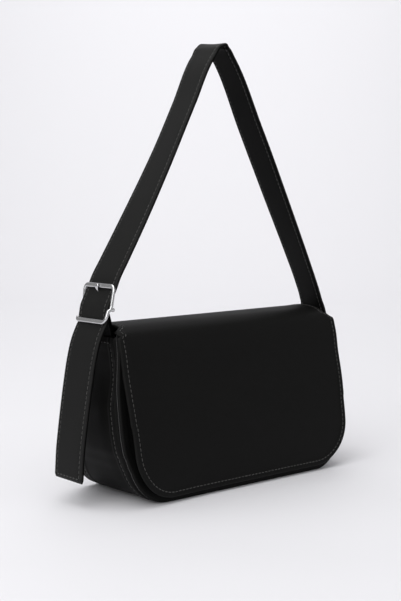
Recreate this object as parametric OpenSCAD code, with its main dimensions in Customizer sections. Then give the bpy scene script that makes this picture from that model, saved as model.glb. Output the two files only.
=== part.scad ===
// Baguette bag in faux leather: tapered body, long front flap, zip, magnetic snap, buckled shoulder strap.
// X runs along the bag's width, the front faces -Y, and the base rests on z = 0.

/* [Body] */
// Width of the bag across its sides
body_w = 258; // [230:1:300]
// Height of the front and back panels
body_h = 147; // [135:1:165]
// Drop from the top of the panels to the top of the side strips
side_drop = 5; // [3:0.5:16]
// Depth of the body at its base
base_d = 96; // [84:1:110]
// Depth of the body at its top
top_d = 46; // [42:1:60]
// Radius of the lower corners of the panels
corner_r = 36; // [24:1:44]
// Depth of the hem turned in at the top of the sides
hem_h = 11; // [6:1:16]

/* [Materials] */
// Thickness of the leather of the body
skin_t = 1.4; // [1:0.1:2]
// Thickness of the boards in the front and back
board_t = 1.5; // [1:0.1:2]
// Thickness of the board in the base
base_board_t = 2; // [1.5:0.1:3]
// Thickness of the lining
lining_t = 0.6; // [0.4:0.1:1]

/* [Flap] */
// Distance of the sides of the flap's roof in from the body's sides
flap_inset = 4.5; // [1.5:0.1:8]
// Distance by which the flap's front is wider than its roof on each side
flap_flare = 8.5; // [0:0.5:10]
// Radius of the lower corners of the flap
flap_corner_r = 42; // [20:1:50]
// Thickness of the flap's outer leather
flap_outer_t = 1.3; // [1:0.1:1.8]
// Thickness of the flap's stiffener
flap_core_t = 0.7; // [0.5:0.1:1.2]
// Thickness of the flap's lining
flap_lining_t = 0.8; // [0.5:0.1:1.2]
// Height of the middle of the flap's roof over the panels
roof_rise = 9.2; // [7.5:0.1:14]
// Height of the flap's lower edge above the floor
flap_hem_z = 7; // [4:1:20]
// Distance by which the flap stands off the front panel at mid height
stand_off = 9.8; // [8:0.1:14]
// Height of the strip by which the flap is sewn to the back panel
flap_seat_h = 26; // [16:1:36]
// Width of the turned edge that the stiffener stays clear of
turned_edge = 7; // [5:1:12]
// Angle by which the flap's front lifts at its shoulder
front_opening = 120; // [60:5:120]

/* [Snap] */
// Height of the magnetic snap above the floor
snap_z = 38; // [30:1:60]
// Diameter of the snap's discs
snap_d = 18; // [14:1:20]
// Thickness of the socket on the front panel
socket_t = 3.4; // [2.5:0.1:3.6]
// Diameter of the hole in the socket
socket_hole_d = 7.2; // [6:0.1:8]
// Diameter of the snap's shanks
shank_d = 4; // [3:0.1:5]

/* [Strap] */
// Width of the strap
strap_w = 40; // [30:1:42]
// Thickness of the strap's outer leather
strap_outer_t = 1.6; // [1.2:0.1:2]
// Thickness of the strap's backing leather
strap_backing_t = 1.4; // [1:0.1:1.8]
// Height of the strap's top above the floor
apex_z = 407; // [380:1:440]
// Height of the cut end of the strap's free tail
tail_end_z = 22; // [15:1:60]
// Distance from the bag's side out to the end of the tail
tail_flare = 36; // [30:1:60]
// Length of the strap's sewn ends below the top of the sides
seat_h = 40; // [32:1:60]

/* [Buckle] */
// Inner width of the buckle
buckle_inner_w = 41; // [40.6:0.1:46]
// Diameter of the buckle's wire
wire_d = 3; // [2.4:0.1:3.4]
// Distance from the centre bar to the upper bar
buckle_up = 19.3; // [17:0.1:24]
// Distance from the centre bar to the lower bar
buckle_down = 12.4; // [11.5:0.1:16]
// Lean of the buckle from upright
buckle_lean = 18.8; // [10:0.1:25]
// Distance from the bag's side out to the centre bar
bar_out = 8; // [7:0.1:12]
// Height of the centre bar above the tops of the sides
bar_rise = 28; // [25:0.5:34]
// Diameter of the prong
prong_d = 2.2; // [1.8:0.1:2.6]
// Thickness of each layer of the chape
chape_t = 1.4; // [1:0.1:1.6]

/* [Zip] */
// Distance from the bag's side to the end of the rows of teeth
zip_margin = 11; // [9:0.5:25]
// Half width of the zip's open mouth at its middle
mouth = 14; // [8:0.5:15]
// Thickness of the zip's tape
tape_t = 0.8; // [0.5:0.1:1]
// Distance between neighbouring teeth
tooth_pitch = 3; // [2.8:0.1:4]
// Length of a tooth across the zip
tooth_w = 3; // [2.5:0.1:3.5]
// Thickness of a tooth
tooth_t = 1.7; // [1.3:0.1:2]
// Height of a tooth
tooth_h = 2.6; // [2:0.1:3]
// Distance of the slider from the end of the rows of teeth
slider_inset = 15; // [12:0.5:18]
// Length of the slider
slider_l = 12; // [9:0.5:14]
// Length of the zip's pull
pull_l = 16; // [12:1:22]

/* [Hidden] */
$fn = 64;
clear = 0.3;
slip = 0.05;
over = 1;
side_x = body_w / 2;
side_h = body_h - side_drop;
flap_w = body_w - 2 * flap_inset;
zip_l = body_w - 2 * zip_margin;
slider_x = zip_l / 2 - slider_inset;
bar_z = side_h + bar_rise;
stack_t = skin_t + board_t + lining_t;
inner_inset = 2 * skin_t + clear;
flap_t = flap_outer_t + flap_core_t + flap_lining_t;
strap_t = strap_outer_t + strap_backing_t;
strap_x = side_x + clear + strap_t / 2;
pivot_z = side_h + 8;
wire_r = wire_d / 2;
shank_r = shank_d / 2;
washer_t = 0.7;
zip_z = side_h + tape_t / 2;

// Smooth curve through points, n steps between neighbours, with its direction weighed by their distances
function direction_at(p, i) =
    i == 0 ? (p[1] - p[0]) / norm(p[1] - p[0]) :
    i == len(p) - 1 ? (p[i] - p[i - 1]) / norm(p[i] - p[i - 1]) :
    let (d = norm(p[i] - p[i - 1]), e = norm(p[i + 1] - p[i]))
        ((p[i + 1] - p[i]) * d / e + (p[i] - p[i - 1]) * e / d) / (d + e);
function between(p, i, t) = let (d = norm(p[i + 1] - p[i]))
    (2 * t * t * t - 3 * t * t + 1) * p[i] + (3 * t * t - 2 * t * t * t) * p[i + 1]
    + d * (t * t * t - 2 * t * t + t) * direction_at(p, i) + d * (t * t * t - t * t) * direction_at(p, i + 1);
function smooth(p, n) = concat(
    [for (i = [0 : len(p) - 2], j = [0 : n - 1]) between(p, i, j / n)],
    [p[len(p) - 1]]);

// Points beside a curve, and the band between two such lines
function normal_at(p, i) = let (d = p[min(i + 1, len(p) - 1)] - p[max(i - 1, 0)])
    [-d.y, d.x] / norm(d);
function beside(p, off) = [for (i = [0 : len(p) - 1]) p[i] + off * normal_at(p, i)];
function part_of(p, from, to) = [for (i = [from : to]) p[i]];
function turned(v, a) = [v.x * cos(a) - v.y * sin(a), v.x * sin(a) + v.y * cos(a)];
function backwards(p) = [for (i = [len(p) - 1 : -1 : 0]) p[i]];
function band(p, from, to) = concat(beside(p, from), backwards(beside(p, to)));

// A drawing in Y and Z extruded along X, and a drawing in X and Z extruded along Y
module along_x(w) { rotate([90, 0, 90]) linear_extrude(w, center = true) children(); }
module along_y(w) { rotate([90, 0, 0]) linear_extrude(w, center = true) children(); }

// Half of the body's depth at a height
function half_depth(z) = (base_d + (top_d - base_d) * z / body_h) / 2;
panel_lean = atan((base_d - top_d) / 2 / body_h);

// Front view of the body, moved in from the sides and up from the floor
module outline(side, floor_z, top) {
    half = side_x - side;
    r = corner_r - max(side, floor_z);
    translate([-half, floor_z + r]) square([2 * half, top - floor_z - r]);
    translate([-half + r, floor_z]) square([2 * (half - r), top - floor_z]);
    for (s = [-1, 1]) translate([s * (half - r), floor_z + r]) circle(r);
}

// A wall that lies between two depths behind the front face, or before the back face for s = 1
module wall(s, from, to, inset, top) {
    intersection() {
        along_y(2 * base_d) outline(inset, inset, top);
        along_x(2 * body_w) polygon([
            [s * (half_depth(0) - from), 0], [s * (half_depth(0) - to), 0],
            [s * (half_depth(top) - to), top], [s * (half_depth(top) - from), top]]);
    }
}

// The space between the two walls, at a depth inside their outer faces
module between_walls(depth, top) {
    along_x(2 * body_w) polygon([
        [-half_depth(0) + depth, 0], [half_depth(0) - depth, 0],
        [half_depth(top) - depth, top], [-half_depth(top) + depth, top]]);
}

// Place on the front panel at the snap, with +Z pointing out of the panel
module at_snap_panel() {
    translate([0, -half_depth(snap_z), snap_z]) rotate([90 - panel_lean, 0, 0]) children();
}

module front_panel() {
    color("#1b1b1d") difference() {
        wall(-1, 0, skin_t, 0, body_h);
        at_snap_panel() cylinder(r = shank_r + slip, h = 4 * skin_t, center = true);
    }
}

module back_panel() {
    color("#1b1b1d") wall(1, 0, skin_t, 0, body_h);
}

module gusset() {
    color("#1f1f21") intersection() {
        union() {
            along_y(base_d) difference() {
                outline(0, 0, side_h);
                outline(skin_t, skin_t, side_h + over);
            }
            for (s = [-1, 1]) translate([s * (side_x - skin_t * 1.5), 0, side_h - hem_h / 2])
                cube([skin_t, base_d, hem_h], center = true);
        }
        between_walls(skin_t, side_h);
    }
}

module front_board() {
    color("#8a7a62") difference() {
        wall(-1, skin_t, skin_t + board_t, inner_inset, body_h - 2);
        at_snap_panel() cylinder(r = snap_d / 2 + clear, h = 4 * stack_t, center = true);
    }
}

module back_board() {
    color("#8a7a62") wall(1, skin_t, skin_t + board_t, inner_inset, body_h - 2);
}

module base_board() {
    half_x = side_x - corner_r;
    half_y = half_depth(skin_t + base_board_t) - stack_t - clear;
    color("#8a7a62") translate([-half_x, -half_y, skin_t]) cube([2 * half_x, 2 * half_y, base_board_t]);
}

module front_lining() {
    color("#2a2a2c") wall(-1, skin_t + board_t, stack_t, inner_inset, body_h - 2);
}

module back_lining() {
    color("#2a2a2c") wall(1, skin_t + board_t, stack_t, inner_inset, body_h - 2);
}

module gusset_lining() {
    floor_z = skin_t + base_board_t;
    color("#2a2a2c") intersection() {
        along_y(base_d) difference() {
            outline(skin_t + slip, floor_z, side_h - hem_h - clear);
            outline(skin_t + slip + lining_t, floor_z + lining_t, side_h);
        }
        between_walls(stack_t + slip, side_h);
    }
}

// Side view of the flap: the middle of its thickness from its fold at the back over the roof and the
// shoulder down to its hem
fold = [top_d / 2 + slip + flap_t / 2, body_h + 5];
roof_z = body_h + roof_rise;
flap_steps = 6;
function off_panel(z, off) = [-half_depth(z) - off, z];
flap_line = smooth([
    fold,
    [fold.x - 11, roof_z - 0.8],
    [-7, roof_z],
    [-half_depth(body_h) + 5.5, roof_z - 2.8],
    [-half_depth(body_h) - 2, body_h + 1.8],
    off_panel(body_h - 10, 0.42 * stand_off),
    off_panel(body_h - 35, 0.84 * stand_off),
    off_panel(body_h / 2 + 8, stand_off),
    off_panel(body_h / 3 + 6, 0.95 * stand_off),
    off_panel(flap_hem_z + 24, 0.7 * stand_off),
    off_panel(flap_hem_z, 0.32 * stand_off)], flap_steps);

// The flap bends at its fold and at its shoulder, so it is a roof and a front with a round bend at each
roof_line = part_of(flap_line, 0, 4 * flap_steps);
front_line = part_of(flap_line, 4 * flap_steps, len(flap_line) - 1);
shoulder = front_line[0];
open_way = turned(direction_at(front_line, 0), -front_opening);
module bend(at, d, l) {
    translate([0, at.x, at.y]) rotate([0, 90, 0]) cylinder(d = d, h = l, center = true);
}

// Room round the bend at the shoulder, and behind the front when it stands open
module shoulder_room() {
    r = flap_t / 2 + clear;
    way = 4 * flap_t * open_way;
    side = r * turned(open_way, -90);
    translate(shoulder) circle(r);
    translate(shoulder) polygon([[0, 0], way, way + side, side]);
}

// Front view of the flap, moved in from its edge: its sides flare out below the shoulder
module flap_outline(inset) {
    roof_half = flap_w / 2 - inset;
    half = roof_half + 0.75 * flap_flare;
    r = flap_corner_r - inset;
    bottom = flap_hem_z + inset;
    side = smooth([
        [roof_half, roof_z + 10], [roof_half, body_h + 3], [roof_half, body_h - 1],
        [roof_half + 0.6 * flap_flare, body_h - 5], [roof_half + 0.95 * flap_flare, body_h - 13],
        [roof_half + flap_flare, body_h - 30], [roof_half + 0.88 * flap_flare, body_h / 2],
        [half, bottom + r]], 4);
    corner = [for (a = [6 : 6 : 90]) [half - r + r * cos(a), bottom + r - r * sin(a)]];
    right = concat(side, corner);
    polygon(concat(right, [for (p = backwards(right)) [-p.x, p.y]]));
}

// A layer of the flap's roof or front between two distances from its lining's face
module flap_layer(line, from, to, inset) {
    intersection() {
        along_x(2 * body_w) polygon(band(line, flap_t / 2 - to, flap_t / 2 - from));
        along_y(4 * base_d) flap_outline(inset);
    }
}
module roof_layer(from, to, inset) {
    difference() {
        flap_layer(roof_line, from, to, inset);
        along_x(2 * body_w) shoulder_room();
    }
}

// Place on the flap's lining behind the snap, with +Z pointing from the lining to the front panel
snap_table = [for (p = backwards(front_line)) [p.y, p.x]];
snap_lean = atan(lookup(snap_z + 2, snap_table) / 4 - lookup(snap_z - 2, snap_table) / 4);
module at_snap_flap() {
    translate([0, lookup(snap_z, snap_table), snap_z]) rotate([-90 - snap_lean, 0, 0])
        translate([0, 0, flap_t / 2]) children();
}

module flap_seat() {
    low = body_h - flap_seat_h;
    top = fold.y - flap_t / 2 - clear;
    color("#1b1b1d") along_x(flap_w) polygon([
        [half_depth(low), low], [half_depth(low) + flap_t, low], [half_depth(body_h) + flap_t, body_h],
        [fold.x + flap_t / 2, top], [fold.x - flap_t / 2, top], [half_depth(body_h), body_h]]);
}

module flap_roof() {
    color("#19191b") union() {
        roof_layer(flap_core_t + flap_lining_t, flap_t, 0);
        bend(fold, flap_t, flap_w);
    }
}

module flap_roof_stiffener() {
    color("#6f6a60") difference() {
        roof_layer(flap_lining_t, flap_lining_t + flap_core_t, turned_edge);
        bend(fold, 4 * flap_t, 2 * body_w);
    }
}

module flap_roof_lining() {
    color("#222224") difference() {
        roof_layer(0, flap_lining_t, 0);
        bend(fold, flap_t + 2 * slip, 2 * body_w);
    }
}

module flap() {
    color("#19191b") union() {
        flap_layer(front_line, flap_core_t + flap_lining_t, flap_t, 0);
        bend(shoulder, flap_t, flap_w);
    }
}

module flap_stiffener() {
    color("#6f6a60") difference() {
        flap_layer(front_line, flap_lining_t, flap_lining_t + flap_core_t, turned_edge);
        at_snap_flap() cylinder(r = snap_d / 2 + clear, h = 3 * flap_t, center = true);
        bend(shoulder, 4 * flap_t, 2 * body_w);
    }
}

module flap_lining() {
    color("#222224") difference() {
        flap_layer(front_line, 0, flap_lining_t, 0);
        at_snap_flap() cylinder(r = shank_r + slip, h = 3 * flap_t, center = true);
        bend(shoulder, flap_t + 2 * slip, 2 * body_w);
    }
}

module snap_socket() {
    color("#c9cacc") at_snap_panel() difference() {
        union() {
            cylinder(d = snap_d, h = socket_t);
            translate([0, 0, -skin_t - washer_t]) cylinder(r = shank_r, h = skin_t + washer_t + over);
        }
        translate([0, 0, socket_t / 2]) cylinder(d = socket_hole_d, h = socket_t);
    }
}

module snap_socket_washer() {
    color("#b7b9bc") at_snap_panel() translate([0, 0, -skin_t - washer_t]) difference() {
        cylinder(d = snap_d, h = washer_t);
        cylinder(r = shank_r + slip, h = 3 * washer_t, center = true);
    }
}

// The stud's plate and washer are flat between leathers that curve, so each lies a little off them
curve_gap = 0.12;
stud_washer_t = flap_core_t - 2 * curve_gap;
module snap_stud() {
    plate_t = 1.6;
    shank_l = flap_lining_t + 2 * curve_gap + stud_washer_t;
    color("#c9cacc") at_snap_flap() translate([0, 0, curve_gap]) union() {
        cylinder(d = snap_d, h = plate_t);
        cylinder(d = socket_hole_d - 2.4, h = plate_t + socket_t / 2 - clear);
        translate([0, 0, -shank_l]) cylinder(r = shank_r, h = shank_l + slip);
    }
}

module snap_stud_washer() {
    low = -flap_lining_t - curve_gap - stud_washer_t;
    color("#b7b9bc") at_snap_flap() translate([0, 0, low]) difference() {
        cylinder(d = snap_d, h = stud_washer_t);
        cylinder(r = shank_r + slip, h = 3 * stud_washer_t, center = true);
    }
}

// Distance from the zip's middle line to the inner side of a row of teeth
function row_y(x) = mouth * pow(cos(90 * min(abs(x) / (zip_l / 2), 1)), 2) + 0.2;
function row_turn(x) = atan(row_y(x + 0.5) - row_y(x - 0.5));

module zip_tape(s) {
    edge = tooth_w + 2 * slip;
    xs = [for (i = [-40 : 40]) side_x * i / 40];
    color("#151516") intersection() {
        translate([0, 0, side_h]) linear_extrude(tape_t) polygon(concat(
            [for (x = xs) [x, s * (row_y(x) + edge)]],
            [[side_x, s * base_d], [-side_x, s * base_d]]));
        between_walls(stack_t, side_h + tape_t + over);
    }
}

module zip_teeth(s) {
    count = floor(zip_l / 2 / tooth_pitch - 0.5);
    color("#4a4b4e") for (i = [-count : count]) {
        x = i * tooth_pitch;
        translate([x, s * (row_y(x) + tooth_w / 2), zip_z]) rotate(s * row_turn(x))
            cube([tooth_t, tooth_w, tooth_h], center = true);
    }
}

module zip_tape_front() { zip_tape(-1); }
module zip_tape_back() { zip_tape(1); }
module zip_teeth_front() { zip_teeth(-1); }
module zip_teeth_back() { zip_teeth(1); }

// Bent metal clips over both ends of the tapes, outside the last teeth
module zip_end_clips() {
    clip_l = 3.4;
    clip_w = 2 * tooth_w + 2;
    clip_t = 0.7;
    x = side_x - skin_t - clip_l / 2 - 0.6;
    color("#d5d6d8") for (s = [-1, 1]) translate([s * x, 0, side_h + tape_t]) difference() {
        translate([-clip_l / 2, -clip_w / 2, 0]) cube([clip_l, clip_w, clip_t]);
        cylinder(d = 1.2, h = 4 * clip_t, center = true);
    }
}

// Two plates joined by a wedge pin, with rails that leave a slot for the tapes
module zip_slider() {
    gap = tooth_h / 2 + clear;
    plate_t = 0.9;
    half_w = row_y(slider_x - slider_l / 2) + tooth_w + clear;
    rail = 0.8;
    rail_h = gap - tape_t / 2 - clear;
    color("#d5d6d8") translate([slider_x, 0, zip_z]) union() {
        for (s = [-1, 1]) mirror([0, 0, (1 - s) / 2]) translate([0, 0, gap]) {
            linear_extrude(plate_t) polygon([
                [-slider_l / 2, -half_w - rail], [slider_l / 2, -half_w], [slider_l / 2, half_w],
                [-slider_l / 2, half_w + rail]]);
            for (t = [-1, 1]) translate([-slider_l / 2, t * (half_w + rail / 2) - rail / 2, -rail_h])
                cube([slider_l * 0.4, rail, rail_h + plate_t / 2]);
        }
        translate([-slider_l / 2 + 1, 0, 0]) cylinder(d = 1.5, h = 2 * gap + plate_t, center = true);
        translate([0, 0, gap + plate_t]) for (s = [-1, 1]) translate([-1, s * 1.9 - 0.4, -plate_t / 2])
            cube([3, 0.8, pull_rise + plate_t / 2 + 0.9]);
    }
}

// Flat pull with a crossbar that turns between the slider's two ears
pull_rise = 1.4;
pull_axis_x = slider_x + 0.5;
pull_axis_z = zip_z + tooth_h / 2 + clear + 0.9 + pull_rise;
module zip_pull() {
    t = 1;
    color("#d5d6d8") translate([pull_axis_x, 0, pull_axis_z]) rotate([0, -7, 0]) difference() {
        union() {
            rotate([90, 0, 0]) cylinder(d = 1.4, h = 2 * (1.5 - slip), center = true);
            translate([-pull_l + 2.5, -2.5, -t / 2]) cube([pull_l - 5, 5, t]);
            translate([-pull_l + 2.5, 0, -t / 2]) cylinder(d = 5, h = t);
            translate([-3, -1.4, -t / 2]) cube([3, 2.8, t]);
        }
        translate([-pull_l + 3, 0, 0]) cylinder(d = 1.8, h = 3 * t, center = true);
    }
}

// Buckle: a place on its frame, given by the height over the centre bar and the distance outward
frame_up = [sin(buckle_lean), cos(buckle_lean)];
frame_out = [-cos(buckle_lean), sin(buckle_lean)];
bar_at = [-side_x - bar_out, bar_z];
function on_frame(up, out) = bar_at + up * frame_up + out * frame_out;
module at_frame() { translate([bar_at.x, 0, bar_at.y]) rotate([0, buckle_lean, 0]) children(); }

// The strap runs behind the upper bar, out over the chape and in behind the lower bar
round_bar = wire_r + strap_t / 2 + 1.8 * clear;
behind = -round_bar;
before = wire_r + slip + chape_t + clear + strap_t / 2 + 0.2;
wrap_angle = 38;
hinge_t = [bar_at.x - 4.2, bar_at.y - buckle_down - 8.3];
shoulder_x = 13;
left_foot = on_frame(buckle_up + 7, behind - 0.5);
left_shoulder = [-shoulder_x, apex_z - 13];
right_foot = [strap_x - 0.8, pivot_z + 20];
right_shoulder = [shoulder_x, apex_z - 12.5];
leg_bow = 2.5;
function leg(foot, shoulder, share, bow) = foot + share * (shoulder - foot) + [bow, 0];
left_leg = [
    left_foot,
    leg(left_foot, left_shoulder, 0.1, leg_bow),
    leg(left_foot, left_shoulder, 0.35, leg_bow),
    leg(left_foot, left_shoulder, 0.7, leg_bow / 2),
    left_shoulder];
apex = [[-5.5, apex_z - 3.6], [0, apex_z - strap_t / 2], [5.5, apex_z - 3.6]];
right_leg = [
    right_shoulder,
    leg(right_foot, right_shoulder, 0.7, leg_bow),
    leg(right_foot, right_shoulder, 0.4, leg_bow),
    leg(right_foot, right_shoulder, 0.16, leg_bow),
    leg(right_foot, right_shoulder, 0.06, leg_bow),
    right_foot,
    [strap_x, pivot_z + 8],
    [strap_x, pivot_z - 6],
    [strap_x, pivot_z - strap_w / 2 - 2]];
function beside_bar(up, turn) = on_frame(up + round_bar * sin(turn), -round_bar * cos(turn));
to_bar = beside_bar(-buckle_down, -20) - hinge_t;
through_buckle = [
    hinge_t + (strap_t / 2 + clear) * to_bar / norm(to_bar),
    beside_bar(-buckle_down, -20),
    beside_bar(-buckle_down, wrap_angle),
    on_frame(-0.4 * buckle_down, 0.62 * before),
    on_frame(0, before),
    on_frame(0.45 * buckle_up, 0.86 * before),
    on_frame(0.70 * buckle_up, 0.30 * before),
    beside_bar(buckle_up, -wrap_angle),
    on_frame(buckle_up, behind)];
strap_line = smooth(concat(through_buckle, left_leg, apex, right_leg), 5);

tail_x = -side_x - tail_flare;
tail_line = smooth([
    hinge_t,
    [hinge_t.x - 4.6, hinge_t.y - 8],
    [hinge_t.x - 10.5, hinge_t.y - 25],
    [tail_x + 9.5, 0.67 * hinge_t.y + 0.33 * tail_end_z],
    [tail_x + 6.3, 0.53 * hinge_t.y + 0.47 * tail_end_z],
    [tail_x + 3.4, 0.35 * hinge_t.y + 0.65 * tail_end_z],
    [tail_x + 1.4, 0.2 * hinge_t.y + 0.8 * tail_end_z],
    [tail_x, tail_end_z]], 5);

// The loop turns about the X axis at pivot_z, so its lower right end is round about that axis
module above_pivot(r) {
    translate([0, 0, pivot_z]) rotate([0, 90, 0]) cylinder(r = r, h = 2 * body_w, center = true, $fn = 96);
    translate([-body_w, -base_d, pivot_z]) cube([2 * body_w, 2 * base_d, 2 * apex_z]);
}

// The left run stays whole down to the tail's hinge, which lies lower than the pivot
module left_of_bag() {
    translate([-2 * body_w - side_x, -base_d, 0]) cube([2 * body_w, 2 * base_d, 2 * apex_z]);
}

// Hole for the prong, along the prong's own line
prong_tilt = atan((wire_r + prong_d / 2 + slip) / buckle_up);
module prong_hole() {
    at_frame() rotate([0, -prong_tilt, 0]) translate([0, 0, wire_r + 2])
        cylinder(d = prong_d + 1.9, h = buckle_up);
}

module strap_layer(from, to) {
    intersection() {
        along_y(strap_w) polygon(band(strap_line, from, to));
        union() {
            above_pivot(strap_w / 2);
            left_of_bag();
        }
    }
}

module strap() {
    color("#202022") difference() {
        strap_layer(strap_t / 2 - strap_outer_t, strap_t / 2);
        prong_hole();
    }
}

module strap_backing() {
    color("#18181a") difference() {
        strap_layer(-strap_t / 2, strap_t / 2 - strap_outer_t);
        prong_hole();
    }
}

// A sewn end on the bag's side, up to the lowest place that the turning end of the loop reaches
module sewn_end(x, t) {
    low = side_h - seat_h;
    color("#202022") translate([x, -strap_w / 2, low])
        cube([t, strap_w, pivot_z - strap_w / 2 - clear - low]);
}

module strap_seat() { sewn_end(side_x + strap_backing_t, strap_outer_t); }
module strap_seat_backing() { sewn_end(side_x, strap_backing_t); }
module chape_seat() { sewn_end(-side_x - 2 * chape_t, 2 * chape_t); }

module strap_tail() {
    color("#202022") union() {
        along_y(strap_w) polygon(band(tail_line, -strap_t / 2, strap_outer_t - strap_t / 2));
        translate([hinge_t.x, 0, hinge_t.y]) rotate([90, 0, 0])
            cylinder(d = strap_t, h = strap_w, center = true);
    }
}

module strap_tail_backing() {
    color("#18181a") difference() {
        along_y(strap_w) polygon(band(tail_line, strap_outer_t - strap_t / 2, strap_t / 2));
        translate([hinge_t.x, 0, hinge_t.y]) rotate([90, 0, 0])
            cylinder(d = strap_t + 2 * slip, h = body_w, center = true);
    }
}

// Chape: two layers that rise from the side and wrap the centre bar, slotted for the prong
module chape() {
    chape_x = -side_x - clear - chape_t;
    rise = smooth([
        [chape_x, pivot_z - strap_w / 2 - 2],
        [chape_x, pivot_z - 6],
        [chape_x, pivot_z + 1],
        0.6 * bar_at + 0.4 * [chape_x, pivot_z],
        bar_at], 5);
    slot_w = prong_d + 2.4;
    color("#1d1d1f") difference() {
        intersection() {
            along_y(strap_w) union() {
                polygon(band(rise, -chape_t, chape_t));
                translate(bar_at) circle(r = wire_r + slip + chape_t);
            }
            above_pivot(strap_w / 2);
        }
        at_frame() rotate([90, 0, 0]) cylinder(r = wire_r + slip, h = 2 * strap_w, center = true);
        at_frame() translate([-8, -slot_w / 2, -5]) cube([16, slot_w, 16]);
    }
}

// Wire frame with round corners and a bored boss on each side for the centre bar
module buckle_frame() {
    w = buckle_inner_w + wire_d;
    upper_r = 4;
    lower_r = 3;
    color("#d5d6d8") at_frame() difference() {
        union() {
            for (s = [-1, 1]) {
                translate([0, s * w / 2, lower_r - buckle_down])
                    cylinder(d = wire_d, h = buckle_up + buckle_down - upper_r - lower_r);
                translate([0, s * w / 2, 0]) rotate([90, 0, 0])
                    cylinder(d = wire_d + 1.8, h = wire_d - 0.4, center = true);
            }
            translate([0, 0, buckle_up]) rotate([90, 0, 0])
                cylinder(d = wire_d, h = w - 2 * upper_r, center = true);
            translate([0, 0, -buckle_down]) rotate([90, 0, 0])
                cylinder(d = wire_d, h = w - 2 * lower_r, center = true);
            for (s = [0, 1]) mirror([0, s, 0]) {
                translate([0, w / 2 - upper_r, buckle_up - upper_r]) wire_bend(upper_r);
                translate([0, w / 2 - lower_r, lower_r - buckle_down]) mirror([0, 0, 1]) wire_bend(lower_r);
            }
        }
        rotate([90, 0, 0]) cylinder(r = wire_r + slip, h = 2 * w, center = true);
    }
}

module wire_bend(r) {
    rotate([90, 0, 90]) rotate_extrude(angle = 90) translate([r, 0]) circle(d = wire_d);
}

// Centre bar with heads outside the frame
module buckle_bar() {
    w = buckle_inner_w + 2 * wire_d;
    color("#d5d6d8") at_frame() rotate([90, 0, 0]) union() {
        cylinder(d = wire_d, h = w + 1, center = true);
        for (s = [0, 1]) mirror([0, 0, s]) translate([0, 0, w / 2 + slip])
            cylinder(d1 = wire_d + 1.2, d2 = wire_d, h = 0.8);
    }
}

// Prong: an eye round the centre bar and a straight pin that lies on the upper bar
module buckle_prong() {
    eye_w = prong_d + 1.4;
    tip_l = 4;
    reach = buckle_up / cos(prong_tilt) + 2.2;
    color("#d5d6d8") at_frame() difference() {
        union() {
            rotate([90, 0, 0]) cylinder(r = wire_r + slip + 1.3, h = eye_w, center = true);
            rotate([0, -prong_tilt, 0]) {
                cylinder(d = prong_d, h = reach - tip_l);
                translate([0, 0, reach - tip_l]) cylinder(d1 = prong_d, d2 = 0.5 * prong_d, h = tip_l);
            }
        }
        rotate([90, 0, 0]) cylinder(r = wire_r + slip, h = 2 * strap_w, center = true);
    }
}

front_panel();
back_panel();
gusset();
front_board();
back_board();
base_board();
front_lining();
back_lining();
gusset_lining();
flap_seat();
flap_roof();
flap_roof_stiffener();
flap_roof_lining();
flap();
flap_stiffener();
flap_lining();
snap_socket();
snap_socket_washer();
snap_stud();
snap_stud_washer();
zip_tape_front();
zip_tape_back();
zip_teeth_front();
zip_teeth_back();
zip_end_clips();
zip_slider();
zip_pull();
strap_seat();
strap_seat_backing();
strap();
strap_backing();
strap_tail();
strap_tail_backing();
chape_seat();
chape();
buckle_frame();
buckle_bar();
buckle_prong();
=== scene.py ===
"""Dresses a baguette bag in black faux leather: stitched flap, side strip, buckled strap, zip and studio."""
import math

import bpy
import numpy as np
from bpy.props import FloatProperty, FloatVectorProperty, PointerProperty
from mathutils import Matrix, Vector
from mathutils.geometry import delaunay_2d_cdt


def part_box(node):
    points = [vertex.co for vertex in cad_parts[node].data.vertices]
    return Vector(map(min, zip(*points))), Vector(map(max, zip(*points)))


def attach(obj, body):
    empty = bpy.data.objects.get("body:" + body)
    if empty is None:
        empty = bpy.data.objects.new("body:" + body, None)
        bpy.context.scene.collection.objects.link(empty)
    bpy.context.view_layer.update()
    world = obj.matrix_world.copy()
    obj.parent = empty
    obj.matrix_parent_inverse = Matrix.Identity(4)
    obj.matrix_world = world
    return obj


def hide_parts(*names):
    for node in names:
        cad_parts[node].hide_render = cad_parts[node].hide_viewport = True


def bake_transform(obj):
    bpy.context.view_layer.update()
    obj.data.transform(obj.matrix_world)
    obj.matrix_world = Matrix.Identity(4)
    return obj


bl_info = {
    "name": "Baguette bag",
    "version": (1, 0, 0),
    "blender": (4, 5, 0),
    "location": "View3D > Sidebar > Baguette bag",
    "description": "Builds a stitched leather bag with a front flap, an open zip and a buckled strap",
    "category": "Object",
}

MM = 0.001
WEAR_REACH = 1.2 * MM      # how far rubbing reaches in from an edge
TURNED_EDGE = 7 * MM       # width of the leather that is turned over at an edge
TURNED_RISE = 0.28 * MM    # how much the turned edge stands up
CHANNEL = 0.75 * MM        # half width of the channel that stitches lie in
CUT_ROUNDING = 0.9 * MM    # rounding of a strap's cut end
THREAD_SIDES = 6
ROD_SIDES = 20
BACKDROP = 3.2             # distance of the backdrop behind the bag in metres
FACE, BACK, THREAD = range(3)  # places of a piece's finishes; a piece of one finish has the first

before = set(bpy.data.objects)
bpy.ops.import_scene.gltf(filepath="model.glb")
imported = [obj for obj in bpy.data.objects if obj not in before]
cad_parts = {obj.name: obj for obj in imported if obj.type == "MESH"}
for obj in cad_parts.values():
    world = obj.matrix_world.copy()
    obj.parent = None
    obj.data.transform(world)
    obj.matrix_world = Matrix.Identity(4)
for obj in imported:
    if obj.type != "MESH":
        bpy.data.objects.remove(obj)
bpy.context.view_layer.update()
panel_low, panel_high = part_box("front_panel")
gusset_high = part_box("gusset")[1]
flap_low, flap_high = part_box("flap")
roof_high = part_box("flap_roof")[1]
strap_low, strap_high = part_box("strap")
tail_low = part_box("strap_tail")[0]
seat_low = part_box("strap_seat")[0]


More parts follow.
